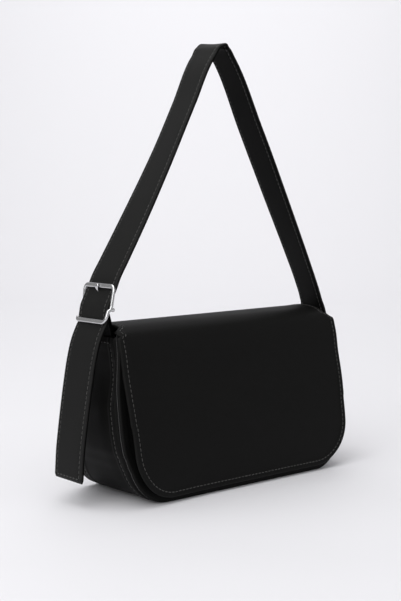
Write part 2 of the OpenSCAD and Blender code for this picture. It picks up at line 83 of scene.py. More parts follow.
def length(name, default, description):
    """A size of the bag in metres."""
    return FloatProperty(name=name, description=description, default=default, unit="LENGTH", precision=4)


def angle(name, default, description):
    """An angle, given in degrees."""
    return FloatProperty(name=name, description=description, default=math.radians(default), subtype="ANGLE")


def number(name, default, description):
    """A plain number."""
    return FloatProperty(name=name, description=description, default=default)


def colour(name, default, description):
    """A colour in linear light."""
    return FloatVectorProperty(name=name, description=description, default=default, size=3, subtype="COLOR")


class BodySizes(bpy.types.PropertyGroup):
    height: length("Height", panel_high.z, "Height of the front and back walls")
    side_height: length("Side height", gusset_high.z + 1.6 * MM, "Height of the side strip's ends")
    half_width: length("Half width", panel_high.x, "Half of the width at the top of the walls")
    belly: length("Belly", 6.6 * MM, "How far the seams swell beyond the top's width")
    base_depth: length("Base depth", -2 * panel_low.y, "Depth of the body at its base")
    top_depth: length("Top depth", 46 * MM, "Depth of the body at the top of its walls")
    corner: length("Corner radius", 36 * MM, "Radius of the walls' lower corners")
    wall: length("Wall thickness", 3.5 * MM, "Leather, board and lining of a wall together")
    side: length("Side thickness", 2 * MM, "Leather and lining of the side strip together")
    base: length("Base thickness", 4 * MM, "Leather, board and lining of the base together")
    seam_groove: length("Seam groove", 5 * MM, "Distance of the seam's groove from the wall's face")
    seam_stitch: length("Seam stitch", 12 * MM, "Distance of the side's stitching from the wall's face")
    top_stitch: length("Top stitch", 4 * MM, "Distance of the stitching below an upper edge")


class FlapSizes(bpy.types.PropertyGroup):
    thickness: length("Thickness", 2.8 * MM, "Leather, stiffener and lining of the flap together")
    roof_half: length("Roof half width", roof_high.x, "Half of the width of the flap's roof")
    flare: length("Flare", flap_high.x - roof_high.x, "How much wider the front is on each side")
    corner: length("Corner radius", 42 * MM, "Radius of the flap's lower corners")
    hem: length("Hem height", flap_low.z - 2 * MM, "Height of the flap's lower edge above the floor")
    roof_rise: length("Roof rise", 9.2 * MM, "Height of the roof's middle over the walls")
    stand_off: length("Stand off", 9.8 * MM, "Distance between the flap and the front wall at mid height")
    seat: length("Seat height", 26 * MM, "Height of the strip sewn to the back wall")
    stitch: length("Stitch inset", 4.9 * MM, "Distance of the stitching from the edge")
    sink: length("Roof sag", 1.9 * MM, "How far the roof has sunk at its middle")
    tilt: length("Roof tilt", 1.1 * MM, "How much lower the roof's left end is than its middle")
    corner_curl: length("Corner curl", 3.4 * MM, "How far the lower left corner stands out")
    ear: length("Ear", 9 * MM, "How far the roof's front left corner has spread outwards")


class StrapSizes(bpy.types.PropertyGroup):
    width: length("Width", strap_high.y - strap_low.y, "Width of the strap")
    thickness: length("Thickness", 3 * MM, "Thickness of the strap's two layers together")
    apex: length("Apex height", strap_high.z, "Height of the strap's top above the floor")
    tail_end: length("Tail height", tail_low.z, "Height of the cut end of the free tail")
    stitch: length("Stitch inset", 3.6 * MM, "Distance of the stitching from the edges")
    seat_low: length("Seat height", seat_low.z, "Height of the lower edge of the sewn end")
    chape: length("Chape layer", 1.1 * MM, "Thickness of each layer of the chape")
    chape_width: length("Chape width", 24 * MM, "Width of the chape")
    lean: number("Apex lean", 0.11, "How much lower the strap's front edge is at the top")


class BuckleSizes(bpy.types.PropertyGroup):
    wire: length("Wire", 1.5 * MM, "Radius of the frame's side wires")
    rail: length("Rail", 2.1 * MM, "Half height of the upper and lower rails")
    half_width: length("Half width", 21.6 * MM, "Half of the frame's width between its wires' middles")
    corner: length("Corner radius", 4.5 * MM, "Radius of the frame's corners")
    up: length("Upper rail", 19.3 * MM, "Distance of the upper rail from the centre bar")
    down: length("Lower rail", 12.4 * MM, "Distance of the lower rail from the centre bar")
    crank: length("Crank", 4.6 * MM, "How far the centre bar lies behind the rails")
    lean: angle("Lean", 18.8, "Lean of the frame")


class StitchSizes(bpy.types.PropertyGroup):
    long: length("Length", 3.1 * MM, "Length of a stitch")
    gap: length("Gap", 1.1 * MM, "Leather between two stitches")
    thread: length("Thread", 0.34 * MM, "Radius of the thread")
    sink: length("Sink", 0.22 * MM, "Depth of the channel that the stitches lie in")


class BagColours(bpy.types.PropertyGroup):
    leather: colour("Leather", (0.0042, 0.0042, 0.0040), "Outer faux leather")
    # painted light: the strap's leather is about twice as light as the body's, standing in for the key light
    # that falls on the strap
    strap: colour("Strap", (0.0085, 0.0085, 0.0082), "Outer leather of the strap")
    # painted shade: the facing colour is darker than the outer leather so that the strap's inner face, the
    # chape and the flap's underside show the shade they lie in
    facing: colour("Facing", (0.0015, 0.0015, 0.0014), "Backing and facing leather")
    thread: colour("Thread", (0.026, 0.025, 0.023), "Sewing thread")
    lining: colour("Lining", (0.012, 0.012, 0.013), "Woven lining")
    tape: colour("Tape", (0.006, 0.006, 0.006), "Woven zip tape")
    teeth: colour("Teeth", (0.012, 0.012, 0.013), "Moulded zip teeth")
    metal: colour("Metal", (0.62, 0.62, 0.63), "Polished nickel plate")
    floor: colour("Floor", (0.74, 0.735, 0.76), "Studio floor and backdrop")


class StudioSizes(bpy.types.PropertyGroup):
    stand_x: length("Camera X", -0.69609, "Camera place along the bag's width")
    stand_y: length("Camera Y", -0.79345, "Camera place in front of the bag")
    stand_z: length("Camera height", 0.25788, "Camera height above the floor")
    pitch: angle("Pitch", 4.874, "Downward tilt")
    turn: angle("Turn", 40.614, "Turn to the right")
    lens: number("Lens", 67.27, "Focal length in millimetres")
    top: number("Top light", 22.0, "Power of the overhead light in watts")
    key: number("Key light", 20.0, "Power of the key light in watts")
    fill: number("Fill light", 4.0, "Power of the fill light in watts")
    backdrop: number("Backdrop light", 46.0, "Power of the backdrop's light in watts")
    sky: number("Sky", 0.36, "Brightness of the white surroundings")


SIZE_GROUPS = {
    "bag_body": BodySizes, "bag_flap": FlapSizes, "bag_strap": StrapSizes, "bag_buckle": BuckleSizes,
    "bag_stitch": StitchSizes, "bag_colours": BagColours, "bag_studio": StudioSizes,
}


# Curves and shapes

def smooth(points, steps):
    """Smooth curve through points, with its direction weighed by the distances to the neighbours."""
    p = np.array(points, float)
    gap = np.linalg.norm(np.diff(p, axis=0), axis=1)[:, None]
    way = np.empty_like(p)
    way[0], way[-1] = (p[1] - p[0]) / gap[0], (p[-1] - p[-2]) / gap[-1]
    before, after = gap[:-1], gap[1:]
    way[1:-1] = ((p[2:] - p[1:-1]) * before / after + (p[1:-1] - p[:-2]) * after / before) / (before + after)
    t = (np.arange(steps) / steps)[None, :, None]
    span = gap[:, None]
    curve = ((2 * t**3 - 3 * t**2 + 1) * p[:-1, None] + (3 * t**2 - 2 * t**3) * p[1:, None]
             + span * (t**3 - 2 * t**2 + t) * way[:-1, None] + span * (t**3 - t**2) * way[1:, None])
    return np.vstack([curve.reshape(-1, p.shape[1]), p[-1:]])


def distances(curve):
    """Length of a curve from its start to each of its points."""
    return np.concatenate([[0], np.cumsum(np.linalg.norm(np.diff(curve, axis=0), axis=1))])


def at_distance(curve, where, values=None):
    """Points, or values given along it, at lengths along a curve."""
    values = curve if values is None else values
    return np.stack([np.interp(where, distances(curve), column) for column in values.T], 1)


def step(low, high, value):
    """Smooth rise from 0 at low to 1 at high."""
    t = np.clip((np.asarray(value, float) - low) / (high - low), 0, 1)
    return t * t * (3 - 2 * t)


def eased(table, value):
    """Value of a smooth curve through a table of places and values."""
    curve = smooth(table, 8)
    return np.interp(value, curve[:, 0], curve[:, 1])


def inset(line, depth):
    """A line moved to its left by a depth."""
    way = unit(np.gradient(line, axis=0))
    return line + depth * np.stack([-way[:, 1], way[:, 0]], 1)


def unit(vectors):
    """Vectors with their length made 1."""
    return vectors / np.maximum(np.linalg.norm(vectors, axis=-1, keepdims=True), 1e-12)


def arc(centre, radius, start, end, count):
    """Points on an arc, angles in degrees."""
    a = np.radians(np.linspace(start, end, count))
    return np.stack([centre[0] + radius * np.cos(a), centre[1] + radius * np.sin(a)], 1)


def level(across, height):
    """Points of a level line in a flat outline."""
    return np.stack([across, np.full(len(across), height)], 1)


def mirrored(right):
    """The right half of an outline, from its middle on, with its mirror image before it."""
    return np.vstack([(right * [-1, 1])[:0:-1], right])


def inside(polygon, points):
    """Whether points lie inside a polygon, by crossings."""
    x, y = points[:, :1], points[:, 1:]
    a, b = polygon, np.roll(polygon, -1, axis=0)
    crosses = (a[:, 1] > y) != (b[:, 1] > y)
    rise = np.where(b[:, 1] == a[:, 1], 1, b[:, 1] - a[:, 1])
    at = a[:, 0] + (y - a[:, 1]) * (b[:, 0] - a[:, 0]) / rise
    return (np.sum(crosses & (x < at), axis=1) % 2) == 1


def edge_distance(line, points):
    """Distance of points from a line of segments."""
    a, d = line[:-1], np.diff(line, axis=0)
    t = np.clip(np.sum((points[:, None] - a) * d, -1) / np.maximum(np.sum(d * d, -1), 1e-18), 0, 1)
    return np.min(np.linalg.norm(points[:, None] - (a + t[..., None] * d), axis=-1), axis=1)


def round_edge(distance, thickness):
    """Half thickness near a rounded edge."""
    t = np.clip(distance / (thickness / 2), 0, 1)
    return thickness / 2 * np.sqrt(1 - (1 - t) ** 2)


def on_surface(point_at, x, h):
    """Points of a surface and the way it faces."""
    e = 0.2 * MM
    across = point_at(x + e, h) - point_at(x - e, h)
    up = point_at(x, h + e) - point_at(x, h - e)
    return point_at(x, h), unit(np.cross(across, up))


# Mesh work

class Piece:
    """Collects the faces of one piece of the bag, with the finish of each face."""

    def __init__(self):
        self.points, self.wear, self.faces, self.finish, self.count = [], [], [], [], 0

    def add_points(self, points, wear=0.0):
        first = self.count
        points = np.asarray(points, float).reshape(-1, 3)
        self.points.append(points)
        self.wear.append(np.broadcast_to(np.asarray(wear, float), len(points)))
        self.count += len(points)
        return first

    def add_faces(self, faces, finish):
        faces = np.asarray(faces)
        self.faces.extend(faces.tolist())
        self.finish.extend([finish] * len(faces))

    def grid(self, points, finish, wear=0.0, across_closed=False, flip=False):
        """Quads over a grid of points."""
        rows, columns = points.shape[:2]
        index = self.add_points(points, wear) + np.arange(rows * columns).reshape(rows, columns)
        if across_closed:
            index = np.concatenate([index, index[:, :1]], axis=1)
        quads = np.stack([index[:-1, :-1], index[:-1, 1:], index[1:, 1:], index[1:, :-1]], -1).reshape(-1, 4)
        self.add_faces(quads[:, ::-1] if flip else quads, finish)
        return index

    def make(self, name, finishes):
        mesh = bpy.data.meshes.new(name)
        mesh.from_pydata(np.vstack(self.points).tolist(), [], self.faces)
        mesh.polygons.foreach_set("material_index", self.finish)
        mesh.polygons.foreach_set("use_smooth", [True] * len(self.faces))
        mesh.attributes.new("wear", "FLOAT", "POINT").data.foreach_set("value", np.concatenate(self.wear))
        for finish in finishes:
            mesh.materials.append(finish)
        mesh.update()
        piece = bpy.data.objects.new(name, mesh)
        bpy.context.scene.collection.objects.link(piece)
        return piece


def stitches(piece, line, facing, finish):
    """Thread along a line on a surface, one rounded stitch after another, half sunk in its channel."""
    size = bpy.context.scene.bag_stitch
    pitch = size.long + size.gap
    total = distances(line)[-1]
    count = max(int(total / pitch), 1)
    where = (np.arange(count) + 0.5) * total / count
    centre = at_distance(line, where)
    way = unit(at_distance(line, where + 0.4 * size.long) - at_distance(line, where - 0.4 * size.long))
    out = unit(at_distance(line, where, facing))
    side = unit(np.cross(out, way))
    slant = np.random.default_rng(count).normal(0, 0.03, count)[:, None]
    way = unit(way + slant * side)
    side = np.cross(out, way)
    spots = np.array([-1, -0.88, -0.55, 0, 0.55, 0.88, 1])
    girth = np.array([0.05, 0.62, 0.94, 1, 0.94, 0.62, 0.05])
    sides = THREAD_SIDES
    turn = np.radians(np.arange(sides) * 360 / sides)
    along = spots[:, None] * size.long / 2 * np.ones(sides)
    right = girth[:, None] * size.thread * 1.15 * np.cos(turn)
    up = girth[:, None] * size.thread * np.sin(turn) - 0.2 * size.thread * (spots[:, None] ** 2)
    template = np.stack([along, right, up], -1).reshape(-1, 3)
    axes = np.stack([way, side, out], 1)
    points = centre[:, None] + np.einsum("tk,skj->stj", template, axes)
    ring = np.arange(sides)
    quads = np.stack([ring, (ring + 1) % sides, sides + (ring + 1) % sides, sides + ring], -1)
    quads = (quads + sides * np.arange(len(spots) - 1)[:, None, None]).reshape(-1, 4)
    first = piece.add_points(points)
    offsets = first + np.arange(count)[:, None, None] * len(template)
    piece.add_faces((quads + offsets).reshape(-1, 4), finish)


def sheet(piece, ring, closed, point_at, thickness, stitch_inset, spacing, sunk=1.0):
    """A leather sheet with rounded edges, a raised turned edge and a channel for its stitches.

    ring(depth) gives the outline moved in by a depth; an open one ends on a straight line that another
    piece carries on from. point_at(x, h) lays the flat pattern on its surface.
    """
    size = bpy.context.scene.bag_stitch
    r = thickness / 2
    depths = [0, 0.03 * r, 0.13 * r, 0.3 * r, 0.6 * r, r, r + 0.8 * MM]
    depths += [stitch_inset + k * MM for k in (-1.3, -0.7, -0.35, 0, 0.35, 0.7, 1.3)]
    depths += [TURNED_EDGE + k * MM for k in (-0.6, 0, 0.7, 2.5)]
    rings = [ring(d) for d in sorted(depths)]
    pattern, edges = [], []
    for line in rings:
        first = sum(len(p) for p in pattern)
        pattern.append(line)
        edges += [(first + k, first + k + 1) for k in range(len(line) - 1)]
        if closed:
            edges.append((first + len(line) - 1, first))
    core = rings[-1]
    low, high = core.min(0), core.max(0)
    xs = np.linspace(low[0], high[0], int((high[0] - low[0]) / spacing) + 2)[1:-1]
    hs = np.linspace(low[1], high[1], int((high[1] - low[1]) / spacing) + 2)[1:-1]
    fill = np.stack(np.meshgrid(xs, hs), -1).reshape(-1, 2)
    fill = fill[inside(core, fill)]
    wall = np.vstack([core, core[:1]]) if closed else core
    fill = fill[edge_distance(wall, fill) > 0.45 * spacing]
    pattern.append(fill)
    if not closed:
        end = rings[0][0, 1]
        across = np.arange(core[:, 0].min() + spacing, core[:, 0].max() - 0.4 * spacing, spacing)
        pattern.append(level(across, end))
    everything = np.vstack(pattern)
    if not closed:
        on_end = np.where(np.abs(everything[:, 1] - end) < 1e-9)[0]
        on_end = on_end[np.argsort(everything[on_end, 0])]
        edges += list(zip(on_end[:-1].tolist(), on_end[1:].tolist()))
    flat, _, triangles, _, _, _ = delaunay_2d_cdt(
        [Vector(p) for p in (everything / MM).tolist()], edges, [], 0, 1e-4)
    flat = np.array([tuple(p) for p in flat]) * MM
    triangles = np.array(triangles)
    border = rings[0]
    triangles = triangles[inside(border, flat[triangles].mean(axis=1))]
    depth = edge_distance(np.vstack([border, border[:1]]) if closed else border, flat)
    depth[depth < 1e-7] = 0
    middle, facing = on_surface(point_at, flat[:, 0], flat[:, 1])
    half = round_edge(depth, thickness)[:, None]
    channel = sunk * size.sink * np.exp(-((depth - stitch_inset) / CHANNEL) ** 2)
    beyond = step(TURNED_EDGE - 0.6 * MM, TURNED_EDGE + 0.7 * MM, depth)
    fold = TURNED_RISE * (1 - beyond) * step(0, r, depth)
    wear = np.exp(-depth / WEAR_REACH)
    top = middle + facing * (half + (fold - channel)[:, None])
    under = middle - facing * half
    first = piece.add_points(top, wear)
    second = piece.add_points(under, wear)
    back = triangles + second
    shared = depth == 0
    back[shared[triangles]] = (triangles + first)[shared[triangles]]
    piece.add_faces(triangles + first, FACE)
    piece.add_faces(back[:, ::-1], BACK)


def ring_stitches(piece, ring, point_at, thickness, edge_inset, both=False):
    """Stitches all along a sheet's outline, on its outer face and, with both, on its inner one."""
    size = bpy.context.scene.bag_stitch
    line = ring(edge_inset)
    middle, facing = on_surface(point_at, line[:, 0], line[:, 1])
    rise = thickness / 2 + TURNED_RISE - size.sink + 0.3 * size.thread
    stitches(piece, middle + facing * rise, facing, THREAD)
    if both:
        stitches(piece, middle - facing * (thickness / 2 + 0.3 * size.thread), -facing, THREAD)


def strap_section(width, thickness, stitch_inset, sink):
    """Cross-section of a strap of two layers, from its back edge round its outer face, as a closed loop."""
    w, t, r = width / 2, thickness / 2, 0.55 * MM
    outer = [(w - 0.12 * MM, 0.0), (w, 0.15 * MM), (w, t - r), (w - 0.16 * MM, t - 0.3 * r), (w - r, t)]
    s = w - stitch_inset
    outer += [(s + 0.9 * MM, t), (s + 0.4 * MM, t - 0.6 * sink), (s, t - sink),
              (s - 0.4 * MM, t - 0.6 * sink), (s - 0.9 * MM, t), (s - 3 * MM, t + 0.08 * MM),
              (s / 2, t + 0.16 * MM), (0, t + 0.18 * MM)]
    right = np.array(outer)
    top = np.vstack([right, (right * [-1, 1])[-2::-1]])
    return np.vstack([top, (top * [1, -1])[-2:0:-1]]), len(top)


def strap_axes(path, widths):
    """Directions of a strap along its path: across it, and out of its outer face."""
    way = unit(np.gradient(path, axis=0))
    widths = unit(widths - np.sum(widths * way, 1)[:, None] * way)
    return widths, np.cross(way, widths)


def ribbon(piece, path, axes, section, layers, ends=(True, True), press=1.0):
    """Sweeps a strap's cross-section along a path, with rounded cut ends where asked."""
    widths, facing = axes
    along = distances(path)
    swell = np.ones(len(path)) * press
    for cut_end, near in zip(ends, (along, along[-1] - along)):
        if cut_end:
            share = np.clip(near / CUT_ROUNDING, 0, 1)
            swell = swell * np.clip(np.sqrt(1 - (1 - share) ** 2), 0.04, 1)
    a, b = section.T
    points = (path[:, None] + a[None, :, None] * widths[:, None]
              + (b[None] * swell[:, None])[..., None] * facing[:, None])
    count = len(section)
    edge = np.abs(a)
    wear = np.broadcast_to(np.exp(-(edge.max() - edge) / (1.0 * MM)), points.shape[:2]).reshape(-1)
    index = piece.add_points(points, wear) + np.arange(points.shape[0] * count).reshape(-1, count)
    for k in range(count):
        n = (k + 1) % count
        quads = np.stack([index[:-1, k], index[:-1, n], index[1:, n], index[1:, k]], -1)
        piece.add_faces(quads, FACE if k < layers - 1 else BACK)
    for cut_end, row in zip(ends, (index[0][::-1], index[-1])):
        if cut_end:
            piece.add_faces([row.tolist()], FACE)


def ribbon_stitches(piece, path, axes, section_width, thickness, edge_inset, finish,
                    start=0.0, stop=0.0, ends=()):
    """Stitches along both edges of a strap, on both faces, and across its ends where asked."""
    size = bpy.context.scene.bag_stitch
    widths, facing = axes
    along = distances(path)
    spots = np.linspace(start, along[-1] - stop, max(int((along[-1] - start - stop) / (1.5 * MM)), 4))
    middle, side, out = (at_distance(path, spots, v) for v in (path, widths, facing))
    reach = section_width / 2 - edge_inset
    rise = thickness / 2 - size.sink + 0.45 * size.thread
    for face in (1, -1):
        for edge in (1, -1):
            stitches(piece, middle + edge * reach * side + face * rise * out, face * out, finish)
        for spot in ends:
            m, s, o = (at_distance(path, np.array([spot]), v) for v in (path, widths, facing))
            across = np.linspace(-reach, reach, 20)[:, None]
            stitches(piece, m + across * s + face * (rise + size.sink + 0.1 * MM) * o,
                     np.repeat(face * o, 20, axis=0), finish)


def rod(piece, path, normal, wide, tall, groove=0.0, closed=False):
    """Sweeps an oval of two half widths along a path, with a groove along its outer face where asked."""
    if closed:
        way = unit(np.roll(path, -1, axis=0) - np.roll(path, 1, axis=0))
    else:
        way = unit(np.gradient(path, axis=0))
    out = unit(normal - np.sum(normal * way, 1)[:, None] * way)
    side = np.cross(way, out)
    turn = np.radians(np.arange(ROD_SIDES) * 360 / ROD_SIDES)
    wide, tall, groove = (np.broadcast_to(v, len(path))[:, None] for v in (wide, tall, groove))
    dent = 1 - groove * np.exp(-(np.cos(turn) / 0.3) ** 2) * (np.sin(turn) > 0)
    points = (path[:, None] + (wide * np.cos(turn))[..., None] * side[:, None]
              + (tall * dent * np.sin(turn))[..., None] * out[:, None])
    points = np.vstack([points, points[:1]]) if closed else points
    index = piece.grid(points, FACE, across_closed=True, flip=True)
    if not closed:
        piece.add_faces([index[0][:-1].tolist()], FACE)
        piece.add_faces([index[-1][:-1][::-1].tolist()], FACE)


# Finishes

class Val:
    """A number that changes over a surface, so shader maths reads as a plain expression."""

    def __init__(self, shader, socket):
        self.shader, self.socket = shader, socket

    def maths(self, operation, *values):
        sockets = dict(enumerate(values))
        return self.shader.value("ShaderNodeMath", {"operation": operation}, sockets)

    def __add__(self, other):
        return self.maths("ADD", self, other)

    def __mul__(self, other):
        return self.maths("MULTIPLY", self, other)

    def __sub__(self, other):
        return self.maths("SUBTRACT", self, other)

    def __rsub__(self, other):
        return self.maths("SUBTRACT", other, self)

    __radd__ = __add__
    __rmul__ = __mul__

    def wave(self):
        return self.maths("SINE", self)

    def clamped(self):
        return self.maths("MINIMUM", self.maths("MAXIMUM", self, 0.0), 1.0)


class Shader:
    """The node tree of one finish."""

    def __init__(self, name):
        self.material = bpy.data.materials.new(name)
        self.material.use_nodes = True
        self.tree = self.material.node_tree
        self.tree.nodes.clear()
        self.surface = self.node("ShaderNodeBsdfPrincipled")
        self.node("ShaderNodeOutputMaterial", {}, {"Surface": self.surface.outputs[0]})
        self.place = self.node("ShaderNodeTexCoord").outputs["Object"]

    def node(self, kind, settings=None, sockets=None):
        made = self.tree.nodes.new(kind)
        for name, value in (settings or {}).items():
            setattr(made, name, value)
        for name, value in (sockets or {}).items():
            self.feed(made.inputs[name], value)
        return made

    def feed(self, socket, value):
        value = value.socket if isinstance(value, Val) else value
        if isinstance(value, bpy.types.NodeSocket):
            self.tree.links.new(value, socket)
        elif socket.type == "RGBA" and len(value) == 3:
            socket.default_value = (*value, 1)
        else:
            socket.default_value = value

    def value(self, kind, settings=None, sockets=None, output=0):
        return Val(self, self.node(kind, settings, sockets).outputs[output])

    def noise(self, scale, detail=3.0, roughness=0.55):
        """Noise from 0 to 1, scale in waves per metre."""
        return self.value("ShaderNodeTexNoise", {}, {
            "Vector": self.place, "Scale": scale, "Detail": detail, "Roughness": roughness})

    def cells(self, scale):
        """Distance from the middle of rounded cells, as in leather grain."""
        return self.value("ShaderNodeTexVoronoi", {"feature": "SMOOTH_F1"}, {
            "Vector": self.place, "Scale": scale, "Smoothness": 0.6})

    def axis(self, name):
        """One coordinate of the surface in metres."""
        return self.value("ShaderNodeSeparateXYZ", {}, {0: self.place}, name)

    def worn(self):
        """How close the surface is to a worn edge, from 0 to 1."""
        return self.value("ShaderNodeAttribute", {"attribute_name": "wear"}, {}, "Fac")

    def blend(self, mask, first, second):
        """Colour from first to second as the mask rises."""
        return self.node("ShaderNodeMix", {"data_type": "RGBA"}, {0: mask, 6: first, 7: second}).outputs[2]

    def bump(self, height, depth, strength):
        self.feed(self.surface.inputs["Normal"], self.node("ShaderNodeBump", {}, {
            "Height": height, "Distance": depth, "Strength": strength}).outputs[0])

    def finish(self, **sockets):
        names = {"base": "Base Color", "roughness": "Roughness", "metallic": "Metallic",
                 "sheen": "Sheen Weight", "specular": "Specular IOR Level"}
        for name, value in sockets.items():
            self.feed(self.surface.inputs[names[name]], value)
        return self.material


def lighter(shade, factor):
    """A colour made lighter or darker."""
    return tuple(channel * factor for channel in shade)


def leather(name, shade, grain=1.0, shine=0.10):
    """Matt faux leather: pebbled grain, soft mottling and paler, smoother edges where hands rub it."""
    s = Shader(name)
    pebbles = s.cells(1050.0)
    wrinkles = s.noise(420.0, 4.0, 0.6)
    patches = s.noise(22.0, 4.0, 0.6)
    rub = s.noise(160.0, 3.0) * s.worn()
    mottled = (patches * 1.7 - 0.35).clamped()
    body = s.blend(mottled, lighter(shade, 0.78), lighter(shade, 1.28))
    base = s.blend((pebbles * 0.9).clamped(), body, lighter(shade, 0.62))
    worn = s.blend((rub * 0.55).clamped(), base, lighter(shade, 2.4))
    s.bump(pebbles * -0.6 + wrinkles * 0.5, 0.10 * MM * grain, 0.55)
    return s.finish(base=worn, roughness=0.56 + patches * 0.10 - rub * 0.14, specular=shine)


def thread(shade):
    """Twisted sewing thread."""
    s = Shader("sewing_thread")
    twist = ((s.axis("X") + s.axis("Y") + s.axis("Z")) * 9000.0).wave()
    s.bump(twist, 0.05 * MM, 0.6)
    uneven = (s.noise(300.0) * 1.3 - 0.2).clamped()
    return s.finish(base=s.blend(uneven, lighter(shade, 0.75), lighter(shade, 1.3)),
                    roughness=0.72, sheen=0.25)


def woven(name, shade, pitch):
    """Plain weave of threads along X and Z, with broad uneven dye."""
    s = Shader(name)
    turns = 2 * math.pi / pitch
    warp = (s.axis("X") * turns).wave()
    weft = ((s.axis("Z") + s.axis("Y")) * turns).wave()
    weave = warp * weft
    uneven = s.noise(60.0, 4.0)
    s.bump(weave + uneven * 0.8, 0.08 * MM, 0.7)
    tone = (weave * 0.25 + uneven * 0.9).clamped()
    return s.finish(base=s.blend(tone, lighter(shade, 0.6), lighter(shade, 1.5)), roughness=0.85, sheen=0.2)


def plated(shade):
    """Polished nickel plate with faint polishing lines and finger smears."""
    s = Shader("nickel_plate")
    smear = s.noise(90.0, 4.0, 0.6)
    lines = s.noise(2600.0, 2.0)
    s.bump(lines + smear * 0.5, 0.012 * MM, 0.25)
    return s.finish(base=s.blend(smear, lighter(shade, 0.86), shade), metallic=1.0,
                    roughness=0.10 + smear * 0.12 + lines * 0.03)


def moulded(shade):
    """Moulded zip teeth in dark plastic with a satin skin."""
    s = Shader("moulded_teeth")
    grain = s.noise(900.0, 3.0)
    s.bump(grain, 0.03 * MM, 0.4)
    return s.finish(base=s.blend(grain, lighter(shade, 0.8), lighter(shade, 1.2)),
                    roughness=0.30 + grain * 0.12)


def studio_floor(shade):
    """Painted studio floor with a faint roller texture."""
    s = Shader("studio_floor")
    roller = s.noise(240.0, 3.0)
    s.bump(roller, 0.05 * MM, 0.15)
    return s.finish(base=s.blend(roller, lighter(shade, 0.99), shade), roughness=0.62 + roller * 0.06,
                    specular=0.2)


def finish(name):
    """The named finish, made the first time it is asked for."""
    if name in bpy.data.materials:
        return bpy.data.materials[name]
    c = bpy.context.scene.bag_colours
    made = {
        "matt_leather": lambda: leather("matt_leather", tuple(c.leather)),
        # painted shade: the facing leather's darker colour stands in for shade on faces turned away from the
        # lights
        "painted_shade_facing_leather": lambda: leather("painted_shade_facing_leather", tuple(c.facing), 0.7, 0.04),
        # painted light: the strap leather's lighter colour stands in for the key light on the strap
        "painted_light_strap_leather": lambda: leather("painted_light_strap_leather", tuple(c.strap), 0.8, 0.14),
        "sewing_thread": lambda: thread(tuple(c.thread)),
        "woven_lining": lambda: woven("woven_lining", tuple(c.lining), 0.9 * MM),
        "zip_tape": lambda: woven("zip_tape", tuple(c.tape), 0.7 * MM),
        "moulded_teeth": lambda: moulded(tuple(c.teeth)),
        "nickel_plate": lambda: plated(tuple(c.metal)),
        "studio_floor": lambda: studio_floor(tuple(c.floor)),
    }
    return made[name]()


def refinish(node, name):
    """Gives a solid of the frame its finish."""
    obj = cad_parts[node]
    obj.data.materials.clear()
    obj.data.materials.append(finish(name))


# The body's shapes

def half_depth(z):
    """Half of the body's depth at a height."""
    b = bpy.context.scene.bag_body
    return (b.base_depth + (b.top_depth - b.base_depth) * z / b.height) / 2


def belly(z):
    """How far the seams swell out at a height."""
    b = bpy.context.scene.bag_body
    shares = [(-0.1, 0), (0.18, 0), (0.225, 0.22), (0.272, 0.47), (0.347, 0.88), (0.43, 1), (0.53, 1),
              (0.64, 0.93), (0.74, 0.67), (0.84, 0.3), (0.93, 0.08), (1.02, 0), (1.3, 0)]
    return b.belly * eased(shares, np.asarray(z) / b.height)


def seam_line(top):
    """Right half of the walls' outline in X and Z, from the base's end to a height."""
    b = bpy.context.scene.bag_body
    low = arc((b.half_width - b.corner, b.corner), b.corner, -90, 0, 26)[:-1]
    z = np.linspace(b.corner, top, 46)
    line = np.vstack([low, np.stack([np.full(len(z), b.half_width), z], 1)])
    line[:, 0] += belly(line[:, 1])
    return line


def wall_ring(depth):
    """Outline of a wall in X and Z, moved in by a depth."""
    b = bpy.context.scene.bag_body
    upper = 2 * MM
    line = inset(seam_line(b.height - upper), depth)
    top = arc((b.half_width - upper, b.height - upper), max(upper - depth, 0.01 * MM), 0, 90, 5)[1:]
    if depth > upper:
        line = line[line[:, 1] < b.height - depth - 0.1 * MM]
        top = np.array([[line[-1, 0] - 0.02 * MM, b.height - depth]])
    across = np.linspace(0, line[0, 0], 33)[:-1]
    bottom = level(across, depth)
    over = np.linspace(top[-1, 0], 0, 43)[1:]
    lid = level(over, b.height - depth)
    right = np.vstack([bottom, line, top, lid])
    left = right[-2:0:-1] * [-1, 1]
    return np.vstack([right, left])


def front_wall_at(x, z):
    b = bpy.context.scene.bag_body
    sag = 0.5 * MM * np.sin(x / (31 * MM)) * np.sin(z / (23 * MM)) * step(0, 30 * MM, z)
    return np.stack([x, -half_depth(z) + b.wall / 2 + sag, z], 1)


def back_wall_at(x, z):
    b = bpy.context.scene.bag_body
    return np.stack([-x, half_depth(z) - b.wall / 2 + 0 * x, z], 1)


def side_route():
    """Route of the side strip: down the left side, under the base and up the right side."""
    b = bpy.context.scene.bag_body
    line = seam_line(b.side_height)
    across = np.linspace(0, line[0, 0], 30)[:-1]
    return mirrored(np.vstack([level(across, 0.0), line]))


